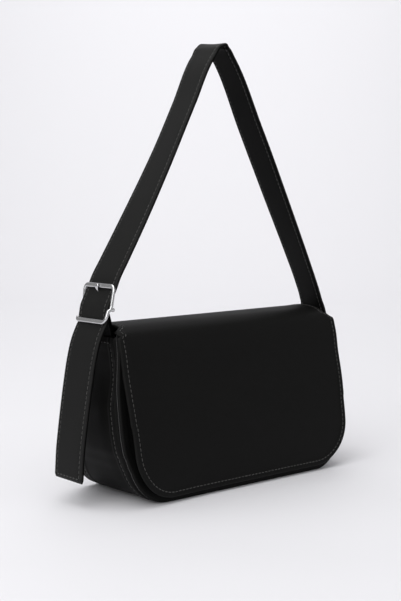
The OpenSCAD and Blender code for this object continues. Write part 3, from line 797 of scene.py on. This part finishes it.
def side_shape(route, across):
    """Points of the side strip's outer face, across given for each point of the route, and its facing."""
    b = bpy.context.scene.bag_body
    way = unit(np.gradient(route, axis=0))
    out = np.stack([way[:, 1], -way[:, 0]], 1)
    x, z = route[:, :1], route[:, 1:]
    depth = half_depth(z)
    e = depth - np.abs(across)
    upright = step(80 * MM, 118 * MM, z)
    groove = (-2.0 * MM * np.exp(-((e - b.seam_groove) / (1.1 * MM)) ** 2)
              - 1.0 * MM * (1 - step(0.4 * b.seam_groove, 0.8 * b.seam_groove, e)))
    turned = 0.35 * MM * step(6.0 * MM, 7.0 * MM, e) * (1 - step(15.0 * MM, 16.0 * MM, e))
    channel = -0.25 * MM * np.exp(-((e - b.seam_stitch) / (0.7 * MM)) ** 2)
    hollow = -(belly(z) + 0.35 * MM) * step(5 * MM, np.maximum(depth - 21.5 * MM, 9 * MM), e) * upright
    swell = 1.6 * MM * step(6 * MM, 30 * MM, e) * (1 - upright) * step(6 * MM, 50 * MM, z)
    hem = 0.45 * MM * step(b.side_height - 11.6 * MM, b.side_height - 10.8 * MM, z)
    ripple = 0.25 * MM * np.sin(z / (9 * MM) + across / (14 * MM)) * step(14 * MM, 26 * MM, e) * (1 - upright)
    offset = groove + turned + channel + hollow + swell + ripple + hem
    points = np.stack([x + out[:, :1] * offset, across + 0 * x, np.maximum(z + out[:, 1:] * offset, 0)], -1)
    return points, np.stack([out[:, 0], 0 * out[:, 0], out[:, 1]], 1)


# The flap's shapes

def flap_profile():
    """Side view of the flap, from its hem up the front, over the roof and down its seat on the back wall."""
    b, f = bpy.context.scene.bag_body, bpy.context.scene.bag_flap
    top, roof = b.height, b.height + f.roof_rise
    near = b.top_depth / 2

    def off(z, distance):
        return (-half_depth(z) - distance, z)

    fold = near + f.thickness / 2
    return smooth([
        off(f.hem, 0.34 * f.stand_off), off(f.hem + 24 * MM, 0.7 * f.stand_off),
        off(top / 3 + 6 * MM, 0.95 * f.stand_off), off(top / 2 + 8 * MM, f.stand_off),
        off(top - 35 * MM, 0.84 * f.stand_off), off(top - 10 * MM, 0.76 * f.stand_off),
        (-near - 4.6 * MM, top + 1.2 * MM), (-near + 3.5 * MM, roof - 2.6 * MM), (-7 * MM, roof),
        (fold - 11 * MM, roof - 0.8 * MM), (fold - 4 * MM, roof - 2.5 * MM), (fold - 0.4 * MM, top + 4 * MM),
        (fold + 0.4 * MM, top), (half_depth(top - 10 * MM) + f.thickness / 2 + 0.3 * MM, top - 10 * MM),
        (half_depth(top - f.seat) + f.thickness / 2 + 0.3 * MM, top - f.seat)], 10)


def flap_half(h, profile):
    """Half of the flap's width at a length from its hem."""
    b, f = bpy.context.scene.bag_body, bpy.context.scene.bag_flap
    y, z = at_distance(profile, h).T
    steps = [(-b.height, 0.75), (0, 0.75), (f.hem + f.corner, 0.75), (b.height / 2, 0.88)]
    steps += [(b.height + rise * MM, share) for rise, share in (
        (-30, 1.04), (-13, 1.06), (-7, 0.92), (-3, 0.74), (1, 0.5), (5, 0.2), (8, 0.03))]
    steps += [(2 * b.height, 0)]
    return f.roof_half + f.flare * np.where(y < 0, eased(steps, z), 0.0)


def flap_split(profile):
    """Length from the hem to the middle of the roof, where the front piece meets the back one."""
    return float(np.interp(0.0, profile[:, 0], distances(profile)))


def flap_at(profile):
    """Lays the flap's flat pattern on its curved shape."""
    f, b = bpy.context.scene.bag_flap, bpy.context.scene.bag_body
    along = distances(profile)

    def place(x, h):
        y, z = at_distance(profile, h).T
        low = h < 0
        over = h > along[-1]
        end = profile[-1] - profile[-2]
        start = profile[0] - profile[1]
        y = np.where(low, profile[0, 0] - h * start[0] / np.hypot(*start), y)
        z = np.where(low, profile[0, 1] - h * start[1] / np.hypot(*start), z)
        y = np.where(over, profile[-1, 0] + (h - along[-1]) * end[0] / np.hypot(*end), y)
        z = np.where(over, profile[-1, 1] + (h - along[-1]) * end[1] / np.hypot(*end), z)
        side = np.abs(x) / f.roof_half
        front = step(-15 * MM, -40 * MM, y)
        drop = (f.sink - f.tilt * x / f.roof_half) * step(b.height - 8 * MM, b.height + 8 * MM, z)
        wave = 0.45 * MM * np.sin(x / (38 * MM) + 0.8) * np.sin(h / (27 * MM)) * front
        left = 1 - step(-1.08 * f.roof_half, -0.2 * f.roof_half, x)
        curl = (1.0 * MM * side**4 + f.corner_curl * left**2) * step(75 * MM, 10 * MM, z) * front
        ear = f.ear * step(-18 * MM, -25 * MM, y) * step(b.height, b.height + 5 * MM, z)
        spread = ear * step(-0.72 * f.roof_half, -f.roof_half, x)
        return np.stack([x - spread, y + wave - curl, z - drop], 1)

    return place


def front_ring(profile, split):
    """Outline of the flap's front piece: up one side from the roof's middle, round the hem and back up."""
    f = bpy.context.scene.bag_flap

    def ring(depth):
        low_half = f.roof_half + 0.75 * f.flare
        h = np.linspace(f.corner, split, 62)
        side = np.stack([flap_half(h, profile) - depth, h], 1)
        low = arc((low_half - f.corner, f.corner), f.corner - depth, -90, 0, 26)[:-1]
        across = np.linspace(0, low_half - f.corner, 32)[:-1]
        return mirrored(np.vstack([level(across, depth), low, side]))

    return ring


def back_ring(profile, split):
    """Outline of the flap's back piece: from the roof's middle over the fold to the seat's lower edge."""
    total = distances(profile)[-1]
    corner = 5 * MM

    def ring(depth):
        h = np.linspace(split, total - corner, 32)
        half = flap_half(h, profile)
        side = np.stack([half - depth, h], 1)
        r = max(corner - depth, 0.01 * MM)
        turn = arc((half[-1] - max(corner, depth), total - max(corner, depth)), r, 0, 90, 7)[1:]
        side[:, 1] = np.minimum(side[:, 1], turn[0, 1] - 0.01 * MM)
        across = np.linspace(turn[-1, 0], 0, 42)[1:]
        right = np.vstack([side, turn, level(across, total - depth)])
        return np.vstack([right, (right * [-1, 1])[-2::-1]])

    return ring


# The strap's shapes

class Buckle:
    """Places on the leaning buckle: up from its centre bar's solid and out of its face, across along Y."""

    def __init__(self):
        size = bpy.context.scene.bag_buckle
        low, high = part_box("buckle_bar")
        self.middle = np.array([(low.x + high.x) / 2, (low.z + high.z) / 2])
        self.up_way = np.array([math.sin(size.lean), math.cos(size.lean)])
        self.out_way = np.array([-math.cos(size.lean), math.sin(size.lean)])
        self.up, self.down, self.size = size.up, size.down, size

    def at(self, up, out):
        """Place in X and Z."""
        return self.middle + up * self.up_way + out * self.out_way

    def spot(self, across, up, out):
        """Places in space for rows of across, up and out."""
        across, up, out = np.broadcast_arrays(across, up, out)
        flat = self.middle + up[:, None] * self.up_way + out[:, None] * self.out_way
        return np.stack([flat[:, 0], across, flat[:, 1]], 1)

    @property
    def facing(self):
        return np.array([self.out_way[0], 0, self.out_way[1]])


def strap_route():
    """Route of the strap in X and Z from the cut end of its tail to its sewn end on the right.

    The tail hangs outside the left side, the strap goes up behind the buckle's rails and over its centre
    bar, and the loop stands as a narrow arch. Returns the route and where the loop starts on it.
    """
    s, b = bpy.context.scene.bag_strap, bpy.context.scene.bag_body
    k = Buckle()
    behind = k.size.wire + s.thickness / 2 + 0.1 * MM
    before = k.size.wire + s.chape + 0.44 * s.thickness - k.size.crank
    steps = 9
    fall = s.tail_end - b.side_height
    tail_x = -b.half_width - 35.6 * MM
    tail = [(tail_x + out * MM, b.side_height + share * fall) for out, share in (
        (0, 1), (1.8, 0.79), (4.4, 0.63), (7.9, 0.44), (11.0, 0.29), (14.4, 0.148), (19.2, 0.012),
        (23.4, -0.062))]
    through = [k.at(-k.down, -behind), k.at(-0.45 * k.down, 0.65 * before - 0.35 * behind),
               k.at(0.3 * MM, before), k.at(0.42 * k.up, 0.6 * before - 0.4 * behind),
               k.at(0.75 * k.up, -0.86 * behind), k.at(k.up, -1.05 * behind)]
    right_x = b.half_width + 0.3 * MM + s.thickness / 2
    pivot = gusset_high.z + 8 * MM
    left_foot = k.at(k.up + 7 * MM, -1.25 * behind)
    left_top = np.array([-12.6 * MM, s.apex - 14 * MM])
    right_foot = np.array([right_x - 1.6 * MM, pivot + 21 * MM])
    right_top = np.array([12.4 * MM, s.apex - 13.5 * MM])

    def leg(foot, top, share, bow):
        return foot + share * (top - foot) + (bow * MM, 0)

    left = [left_foot] + [leg(left_foot, left_top, *p) for p in (
        (0.08, 0.7), (0.2, 1.9), (0.35, 2.9), (0.55, 3.2), (0.78, 1.6))] + [left_top]
    apex = [(-5.2 * MM, s.apex - 5.0 * MM), (0.3 * MM, s.apex - s.thickness / 2 - 1.2 * MM),
            (5.4 * MM, s.apex - 5.0 * MM)]
    right = [right_top] + [leg(right_foot, right_top, *p) for p in (
        (0.72, 1.6), (0.42, 1.7), (0.16, 1.4), (0.06, 0.9))] + [right_foot]
    right += [(right_x + out * MM, pivot + rise * MM) for out, rise in (
        (1.7, 13), (4.6, 5.5), (5.1, 0), (3.6, -7), (0.8, -16), (0, -24))]
    right += [(right_x - 0.1 * MM, s.seat_low + 12 * MM), (right_x - 0.1 * MM, s.seat_low)]
    points = tail + through + left + apex + right
    return smooth([tuple(p) for p in points], steps), steps * len(tail)


def strap_widths(route):
    """Directions of the strap's width: it is turned a little about the vertical and leans at its top."""
    s = bpy.context.scene.bag_strap
    z = route[:, 1] / MM
    top = np.argmax(z)
    left = eased([(0, 0), (190, 0), (245, 3), (290, 7), (330, 10), (450, 11)], z)
    right = eased([(0, 0), (136, 0), (146, 6), (158, 14), (180, 15.5), (215, 14.5), (260, 12.5),
                   (450, 11)], z)
    turn = np.radians(np.where(np.arange(len(z)) < top, left, right))
    return np.stack([np.sin(turn), np.cos(turn), s.lean * step(300, 395, z)], 1)


def in_space(route):
    """A route in X and Z as points in space."""
    return np.stack([route[:, 0], 0 * route[:, 0], route[:, 1]], 1)


# Operators

class BAG_OT_body(bpy.types.Operator):
    """Build the walls, the side strip and their seams"""
    bl_idname = "bag.body"
    bl_label = "Body"

    def execute(self, context):
        b = context.scene.bag_body
        finishes = [finish("matt_leather"), finish("woven_lining"), finish("sewing_thread")]
        for name, place, nodes in (
                ("front_wall", front_wall_at, ("front_panel", "front_board", "front_lining")),
                ("back_wall", back_wall_at, ("back_panel", "back_board", "back_lining"))):
            wall = Piece()
            sheet(wall, wall_ring, True, place, b.wall, b.top_stitch, spacing=4.5 * MM, sunk=0.0)
            reach = b.half_width - 9 * MM
            x = np.linspace(-reach, reach, 90)
            middle, facing = on_surface(place, x, np.full(len(x), b.height - b.top_stitch))
            stitches(wall, middle + facing * (b.wall / 2 + 0.3 * MM), facing, THREAD)
            made = wall.make(name, finishes)
            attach(made, "body")
            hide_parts(*nodes)
        strip = Piece()
        route = side_route()
        fine = np.array([1.2, 1.8, 2.5, 3.2, 3.9, 4.5, 5, 5.5, 6.2, 7, 8.5, 10.2, 11.2, 11.6, 12, 12.4,
                         12.8, 14, 15.2, 16, 17.2, 19.5]) * MM
        depth = half_depth(route[:, 1:])
        edge = depth - fine
        between = (depth - fine[-1]) * np.linspace(1, -1, 16)[1:-1]
        across = np.concatenate([edge, between, -edge[:, ::-1]], axis=1)
        outer, out = side_shape(route, across)
        ends = distances(route)
        near = np.minimum(ends, ends[-1] - ends)
        thick = b.side + (b.base - b.side) * (1 - step(3 * MM, 12 * MM, route[:, 1]))
        shrink = round_edge(near, b.side) / (b.side / 2)
        facing = out[:, None]
        middle = outer - facing * (thick / 2)[:, None, None]
        half = (thick / 2 * shrink)[:, None, None]
        wear = np.exp(-near / WEAR_REACH)[:, None] * np.ones(across.shape[1])
        top = strip.grid(middle + facing * half, FACE, wear.reshape(-1))
        under = strip.grid(middle - facing * half, BACK, flip=True)
        for column, flip in ((0, False), (-1, True)):
            quads = np.stack([top[:-1, column], top[1:, column], under[1:, column], under[:-1, column]], -1)
            strip.add_faces(quads[:, ::-1] if flip else quads, FACE)
        self.side_stitches(strip, route)
        made = strip.make("side_strip", finishes)
        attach(made, "body")
        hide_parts("gusset", "gusset_lining", "base_board")
        return {"FINISHED"}

    def side_stitches(self, strip, route):
        """One line of stitches round the whole strip: along both seams and across under each end."""
        b, t = bpy.context.scene.bag_body, bpy.context.scene.bag_stitch
        stop = b.side_height - b.top_stitch
        keep = route[:, 1] <= stop
        for side in (1, -1):
            points, out = side_shape(route, side * (half_depth(route[:, 1:]) - b.seam_stitch))
            line = points[keep, 0] + out[keep] * 0.15 * t.thread
            line[:, 2] = np.maximum(line[:, 2], 1.2 * t.thread)
            stitches(strip, line, out[keep], THREAD)
        reach = half_depth(stop) - b.seam_stitch
        for row in (np.argmax(keep), len(keep) - 1 - np.argmax(keep[::-1])):
            points, out = side_shape(route, np.tile(np.linspace(-reach, reach, 24), (len(route), 1)))
            facing = np.tile(out[row], (24, 1))
            stitches(strip, points[row] + facing * 0.3 * t.thread, facing, THREAD)


class BAG_OT_flap(bpy.types.Operator):
    """Build the flap: its front, its roof and the strip sewn to the back wall"""
    bl_idname = "bag.flap"
    bl_label = "Flap"

    def execute(self, context):
        f = context.scene.bag_flap
        profile = flap_profile()
        split = flap_split(profile)
        place = flap_at(profile)
        # painted shade: the flap's underside takes the darker facing leather
        finishes = [finish("matt_leather"), finish("painted_shade_facing_leather"), finish("sewing_thread")]
        front = Piece()
        ring = front_ring(profile, split)
        sheet(front, ring, False, place, f.thickness, f.stitch, spacing=3.5 * MM)
        ring_stitches(front, ring, place, f.thickness, f.stitch, both=True)
        made = front.make("flap_front_leather", finishes)
        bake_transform(made)
        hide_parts("flap", "flap_stiffener", "flap_lining")
        back = Piece()
        ring = back_ring(profile, split)
        sheet(back, ring, False, place, f.thickness, f.stitch, spacing=3.5 * MM)
        ring_stitches(back, ring, place, f.thickness, f.stitch)
        made = back.make("flap_back_leather", finishes)
        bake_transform(made)
        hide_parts("flap_seat", "flap_roof", "flap_roof_stiffener", "flap_roof_lining")
        return {"FINISHED"}


class BAG_OT_strap(bpy.types.Operator):
    """Build the strap loop, its free tail and the chape that holds the buckle"""
    bl_idname = "bag.strap"
    bl_label = "Strap"

    def execute(self, context):
        s, t = context.scene.bag_strap, context.scene.bag_stitch
        # painted light: the strap's outer face takes the lighter strap leather
        # painted shade: the strap's inner face takes the darker facing leather
        finishes = [finish("painted_light_strap_leather"), finish("painted_shade_facing_leather"), finish("sewing_thread")]
        section, layers = strap_section(s.width, s.thickness, s.stitch, t.sink)
        route, start = strap_route()
        path = in_space(route)
        axes = strap_axes(path, strap_widths(route))
        k = Buckle()
        pinch = np.linalg.norm(route - k.at(0, 0), axis=1)
        press = 1 - 0.12 * np.exp(-(pinch / (7 * MM)) ** 2)
        loop_path, loop_axes = path[start:], [v[start:] for v in axes]
        loop = Piece()
        ribbon(loop, loop_path, loop_axes, section, layers, ends=(False, True), press=press[start:])
        made = loop.make("strap_loop", finishes[:2])
        self.loop_rides(made)
        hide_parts("strap", "strap_backing", "strap_seat", "strap_seat_backing")
        seams = Piece()
        last, end_seam, upper_seam = distances(loop_path)[-1], 3.6 * MM, 24 * MM
        ribbon_stitches(seams, loop_path, loop_axes, s.width, s.thickness, s.stitch, FACE, stop=end_seam,
                        ends=(last - end_seam, last - upper_seam))
        self.loop_rides(seams.make("strap_loop_stitches", finishes[2:]))
        tail_path, tail_axes = path[:start + 1], [v[:start + 1] for v in axes]
        tail = Piece()
        ribbon(tail, tail_path, tail_axes, section, layers, ends=(True, False), press=press[:start + 1])
        ribbon_stitches(tail, tail_path, tail_axes, s.width, s.thickness, s.stitch, THREAD, start=end_seam,
                        ends=(end_seam,))
        made = tail.make("strap_tail_leather", finishes)
        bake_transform(made)
        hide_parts("strap_tail", "strap_tail_backing")
        self.chape()
        return {"FINISHED"}

    def loop_rides(self, made):
        """Bakes the piece's placement into its mesh."""
        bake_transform(made)

    def chape(self):
        """Short strip sewn inside the left side, which goes up round the centre bar and down again."""
        s, b = bpy.context.scene.bag_strap, bpy.context.scene.bag_body
        k = Buckle()
        bar = k.at(0, -k.size.crank)
        inner = -b.half_width + b.side + 2.1 * s.chape + 0.3 * MM
        outer = inner - 1.15 * s.chape
        top, foot = b.side_height, b.side_height - 20 * MM
        aim = math.degrees(math.atan2(top + 4 * MM - bar[1], inner - bar[0]))
        round_bar = arc(bar, k.size.wire + 0.6 * s.chape, aim + 90, aim + 270, 15)
        near = np.array([inner - 2.2 * MM, top + 11 * MM])
        route = np.vstack([
            smooth([(inner, foot), (inner, top - 8 * MM), (inner - 0.3 * MM, top + 2 * MM), near,
                    tuple(round_bar[0])], 8)[:-1],
            round_bar,
            smooth([tuple(round_bar[-1]), tuple(near + (-2.6 * MM, 0.8 * MM)),
                    (outer - 0.6 * MM, top + 1 * MM), (outer, top - 8 * MM), (outer, foot)], 8)[1:]])
        path = in_space(route)
        axes = strap_axes(path, np.array([0.0, -1.0, 0.0]))
        section, layers = strap_section(s.chape_width, s.chape, 2.6 * MM, 0.1 * MM)
        strip = Piece()
        ribbon(strip, path, axes, section * [1, 0.8], layers)
        # painted shade: the chape is darker facing leather on both faces, standing in for the shade it lies
        # in under the buckle
        made = strip.make("chape_leather", [finish("painted_shade_facing_leather")] * 2)
        self.chape_rides(made)
        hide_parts("chape", "chape_seat")
        rivet = Piece()
        spot = np.array([outer - 0.9 * MM, 0, top + 4.0 * MM])
        out = np.array([-0.97, 0, 0.24])
        rise = np.array([-2.4, -1.2, 0.1, 0.5, 0.8, 0.95, 1.0]) * MM
        girth = np.array([0.9, 0.9, 2.0, 1.95, 1.5, 0.8, 0.1]) * MM
        rod(rivet, spot + rise[:, None] * out, np.array([0.0, 1.0, 0.0]), girth, girth)
        made = rivet.make("chape_rivet", [finish("nickel_plate")])
        self.chape_rides(made)

    def chape_rides(self, made):
        """Bakes the piece's placement into its mesh."""
        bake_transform(made)


class BAG_OT_zip(bpy.types.Operator):
    """Build the woven zip tapes and finish the teeth, slider and pull"""
    bl_idname = "bag.zip"
    bl_label = "Zip"

    def execute(self, context):
        b = context.scene.bag_body
        tape_low, tape_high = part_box("zip_tape_front")
        z = (tape_low.z + tape_high.z) / 2
        thick = 0.8 * MM
        low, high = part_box("zip_teeth_back")
        x = np.linspace(-b.half_width + b.side + 4 * MM, b.half_width - b.side, 150)
        inner = mouth_edge(x, high.x, low.y, high.y)
        outer = np.full(len(x), half_depth(z) - b.wall + 0.4 * MM)
        share = np.array([0, 0.02, 0.06, 0.2, 0.4, 0.6, 0.8, 1.0])
        for side, name in ((-1, "front"), (1, "back")):
            y = inner[:, None] + share * (outer - inner)[:, None]
            rise = 0.35 * MM * np.sin(x[:, None] / (17 * MM)) * np.sin(math.pi * share)
            half = round_edge(share * (outer - inner)[:, None], thick)
            tape = Piece()
            for face in (1, -1):
                points = np.stack([x[:, None] + 0 * y, side * y, z + rise + face * half], -1)
                tape.grid(points, FACE, flip=side * face > 0)
            made = tape.make("zip_tape_%s_weave" % name, [finish("zip_tape")])
            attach(made, "body")
            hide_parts("zip_tape_%s" % name)
            refinish("zip_teeth_%s" % name, "moulded_teeth")
        clips = Piece()
        for end in (-1, 1):
            y = np.linspace(-4.2, 4.2, 15) * MM
            path = np.stack([0 * y + end * (high.x + 2.4 * MM), y, 0 * y + z + 0.9 * MM], 1)
            width = 1.3 * MM * np.sqrt(np.clip(1 - (y / (4.25 * MM)) ** 6, 0.02, 1))
            rod(clips, path, np.array([0.0, 0.0, 1.0]), width, 0.7 * width)
        made = clips.make("zip_end_clamps", [finish("nickel_plate")])
        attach(made, "body")
        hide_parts("zip_end_clips")
        for node in ("zip_slider", "zip_pull"):
            refinish(node, "nickel_plate")
        return {"FINISHED"}


def mouth_edge(x, last, narrow, wide):
    """Half width of the open zip behind its teeth: widest in the middle, closed at the ends."""
    tooth = 3 * MM
    share = np.clip(np.abs(x) / (last + MM), 0, 1)
    return narrow + tooth + (wide - tooth - narrow) * np.cos(share * math.pi / 2) ** 2


class BAG_OT_metal(bpy.types.Operator):
    """Build the wire buckle with its cranked sides and finish the magnetic snap"""
    bl_idname = "bag.metal"
    bl_label = "Buckle and snap"

    def execute(self, context):
        k = Buckle()
        self.frame_wire(k)
        self.centre_bar(k)
        self.prong(k)
        for node in ("snap_socket", "snap_socket_washer", "snap_stud", "snap_stud_washer"):
            refinish(node, "nickel_plate")
        return {"FINISHED"}

    def keep(self, piece, name, body, node):
        made = piece.make(name, [finish("nickel_plate")])
        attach(made, body)
        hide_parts(node)

    def frame_wire(self, k):
        """Frame with rounded corners, broad grooved rails and sides that step back to the centre bar."""
        size = k.size
        r, half = size.corner, size.half_width
        side = np.linspace(k.up - r, -k.down + r, 46)[1:-1]
        rail = np.linspace(half - r, -half + r, 30)[1:-1]
        right = np.vstack([arc((half - r, k.up - r), r, 90, 0, 9), np.stack([0 * side + half, side], 1),
                           arc((half - r, -k.down + r), r, 0, -90, 9)])
        line = np.vstack([right, level(rail, -k.down), right[::-1] * [-1, 1], level(-rail, k.up)])
        across, up = line.T
        on_side = step(half - r, half, np.abs(across))
        near = np.interp(up / MM, [-12.4, -4.0, -2.4, -0.6, 2.5, 19.3], [0, -0.2, -0.4, -2.4, -2.3, 0]) * MM
        far = np.interp(up / MM, [-12.4, -10, -8, 2.5, 19.3], [0.5, -1.2, -4.4, -4.1, 0]) * MM
        back = np.where(across < 0, near, far)
        path = k.spot(across, up, back * on_side)
        flat = 1 - on_side
        piece = Piece()
        rod(piece, path, k.facing, size.wire + (size.rail - size.wire) * flat, 0.95 * size.wire,
            groove=0.34 * flat, closed=True)
        self.keep(piece, "buckle_wire_frame", "strap", "buckle_frame")

    def centre_bar(self, k):
        """Bar that the chape holds, with a small head at each end."""
        y = np.array([0, 19, 21, 21.6, 22.3, 22.7, 22.9]) * MM
        girth = np.array([1.4, 1.4, 1.45, 1.75, 1.7, 1.3, 0.3]) * MM
        y, girth = np.concatenate([-y[:0:-1], y]), np.concatenate([girth[:0:-1], girth])
        piece = Piece()
        rod(piece, k.spot(y, 0.0, -k.size.crank), k.facing, girth, girth)
        self.keep(piece, "buckle_centre_bar", "strap", "buckle_bar")

    def prong(self, k):
        """Prong that comes through the strap and lies with a flattened tip on the upper rail."""
        back = -k.size.crank / MM
        line = smooth([(-1.5, back - 1.4), (0.6, back - 2.2), (5, back - 1.9), (10, -5.9), (13.2, -3.6),
                       (14.8, -0.7), (16.6, 1.4), (18.6, 2.4), (20.2, 2.3)], 7) * MM
        up = line[:, 0] / MM
        wide = eased([(-2, 0.9), (0, 1.2), (11, 1.2), (13.6, 0.8), (14.6, 1.0), (16, 1.7), (17.4, 2.2),
                      (19.2, 2.2), (20.2, 1.3), (25, 1.2)], up) * MM
        tall = eased([(-2, 0.9), (0, 1.1), (11, 1.1), (14, 0.8), (18.6, 0.8), (20.2, 0.5),
                      (25, 0.5)], up) * MM
        beside_middle = 1.2 * MM
        piece = Piece()
        rod(piece, k.spot(beside_middle, line[:, 0], line[:, 1]), k.facing, wide, tall)
        self.keep(piece, "buckle_prong_wire", "prong", "buckle_prong")


class BAG_OT_stage(bpy.types.Operator):
    """Set up the floor, the soft lights and the camera"""
    bl_idname = "bag.stage"
    bl_label = "Stage"

    def execute(self, context):
        s = context.scene.bag_studio
        self.floor(s)
        ahead = np.array([math.sin(s.turn), math.cos(s.turn)])
        lamp, wall = 1.5 * ahead, BACKDROP * ahead
        for name, power, place, aim, size in (
                ("top_light", s.top, (-0.3, 0.05, 1.9), (0, 0, 0.1), (1.5, 1.5)),
                ("key_light", s.key, (-1.6, -0.65, 1.2), (0, 0, 0.2), (1.7, 1.5)),
                ("fill_light", s.fill, (1.4, -1.5, 1.2), (0, 0, 0.1), (1.4, 1.4)),
                ("backdrop_light", s.backdrop, (*lamp, 2.6), (*wall, 1.1), (2.4, 0.8))):
            self.light(name, power, place, aim, size)
        world = bpy.data.worlds.new("white_room")
        world.use_nodes = True
        world.node_tree.nodes["Background"].inputs["Color"].default_value = (1, 1, 1, 1)
        world.node_tree.nodes["Background"].inputs["Strength"].default_value = s.sky
        context.scene.world = world
        context.scene.view_settings.view_transform = "Standard"
        lens = bpy.data.cameras.new("camera")
        lens.sensor_fit, lens.sensor_height, lens.lens = "VERTICAL", 36, s.lens
        lens.clip_start, lens.clip_end = 0.01, 50
        camera = bpy.data.objects.new("camera", lens)
        camera.location = (s.stand_x, s.stand_y, s.stand_z)
        camera.rotation_euler = (math.pi / 2 - s.pitch, 0, -s.turn)
        context.scene.collection.objects.link(camera)
        context.scene.camera = camera
        return {"FINISHED"}

    def floor(self, s):
        """Floor that sweeps up into the backdrop behind the bag, square to the camera."""
        near, far, height, bend = -3.0, BACKDROP, 3.5, 1.4
        rise = arc((far - bend, bend), bend, -90, 0, 24)
        line = np.vstack([[(near, 0)], rise, [(far, height)]])
        across = np.linspace(-5, 5, 9)
        forward = np.array([math.sin(s.turn), math.cos(s.turn)])
        right = np.array([forward[1], -forward[0]])
        points = np.array([[(*(a * right + d * forward), z) for a in across] for d, z in line])
        sweep = Piece()
        sweep.grid(points, FACE, flip=True)
        floor = sweep.make("studio_sweep", [finish("studio_floor")])

    def light(self, name, power, place, aim, size):
        lamp = bpy.data.lights.new(name, "AREA")
        lamp.shape, lamp.energy, lamp.size, lamp.size_y = "RECTANGLE", power, size[0], size[1]
        obj = bpy.data.objects.new(name, lamp)
        obj.location = place
        obj.rotation_euler = (Vector(aim) - Vector(place)).to_track_quat("-Z", "Y").to_euler()
        bpy.context.scene.collection.objects.link(obj)


class BAG_PT_panel(bpy.types.Panel):
    """Sizes, colours and building steps of the bag"""
    bl_label = "Baguette bag"
    bl_idname = "BAG_PT_panel"
    bl_space_type = "VIEW_3D"
    bl_region_type = "UI"
    bl_category = "Baguette bag"

    def draw(self, context):
        for name, group in SIZE_GROUPS.items():
            box = self.layout.box()
            for prop in group.__annotations__:
                box.prop(getattr(context.scene, name), prop)
        for step_class in STEPS:
            self.layout.operator(step_class.bl_idname)


STEPS = (BAG_OT_stage, BAG_OT_body, BAG_OT_flap, BAG_OT_strap, BAG_OT_zip, BAG_OT_metal)
CLASSES = (*SIZE_GROUPS.values(), *STEPS, BAG_PT_panel)


def register():
    for cls in CLASSES:
        bpy.utils.register_class(cls)
    for name, group in SIZE_GROUPS.items():
        setattr(bpy.types.Scene, name, PointerProperty(type=group))


def unregister():
    for name in SIZE_GROUPS:
        delattr(bpy.types.Scene, name)
    for cls in reversed(CLASSES):
        bpy.utils.unregister_class(cls)


def main():
    register()
    bpy.ops.bag.stage()
    bpy.ops.bag.body()
    bpy.ops.bag.flap()
    bpy.ops.bag.strap()
    bpy.ops.bag.zip()
    bpy.ops.bag.metal()


if __name__ == "__main__":
    main()
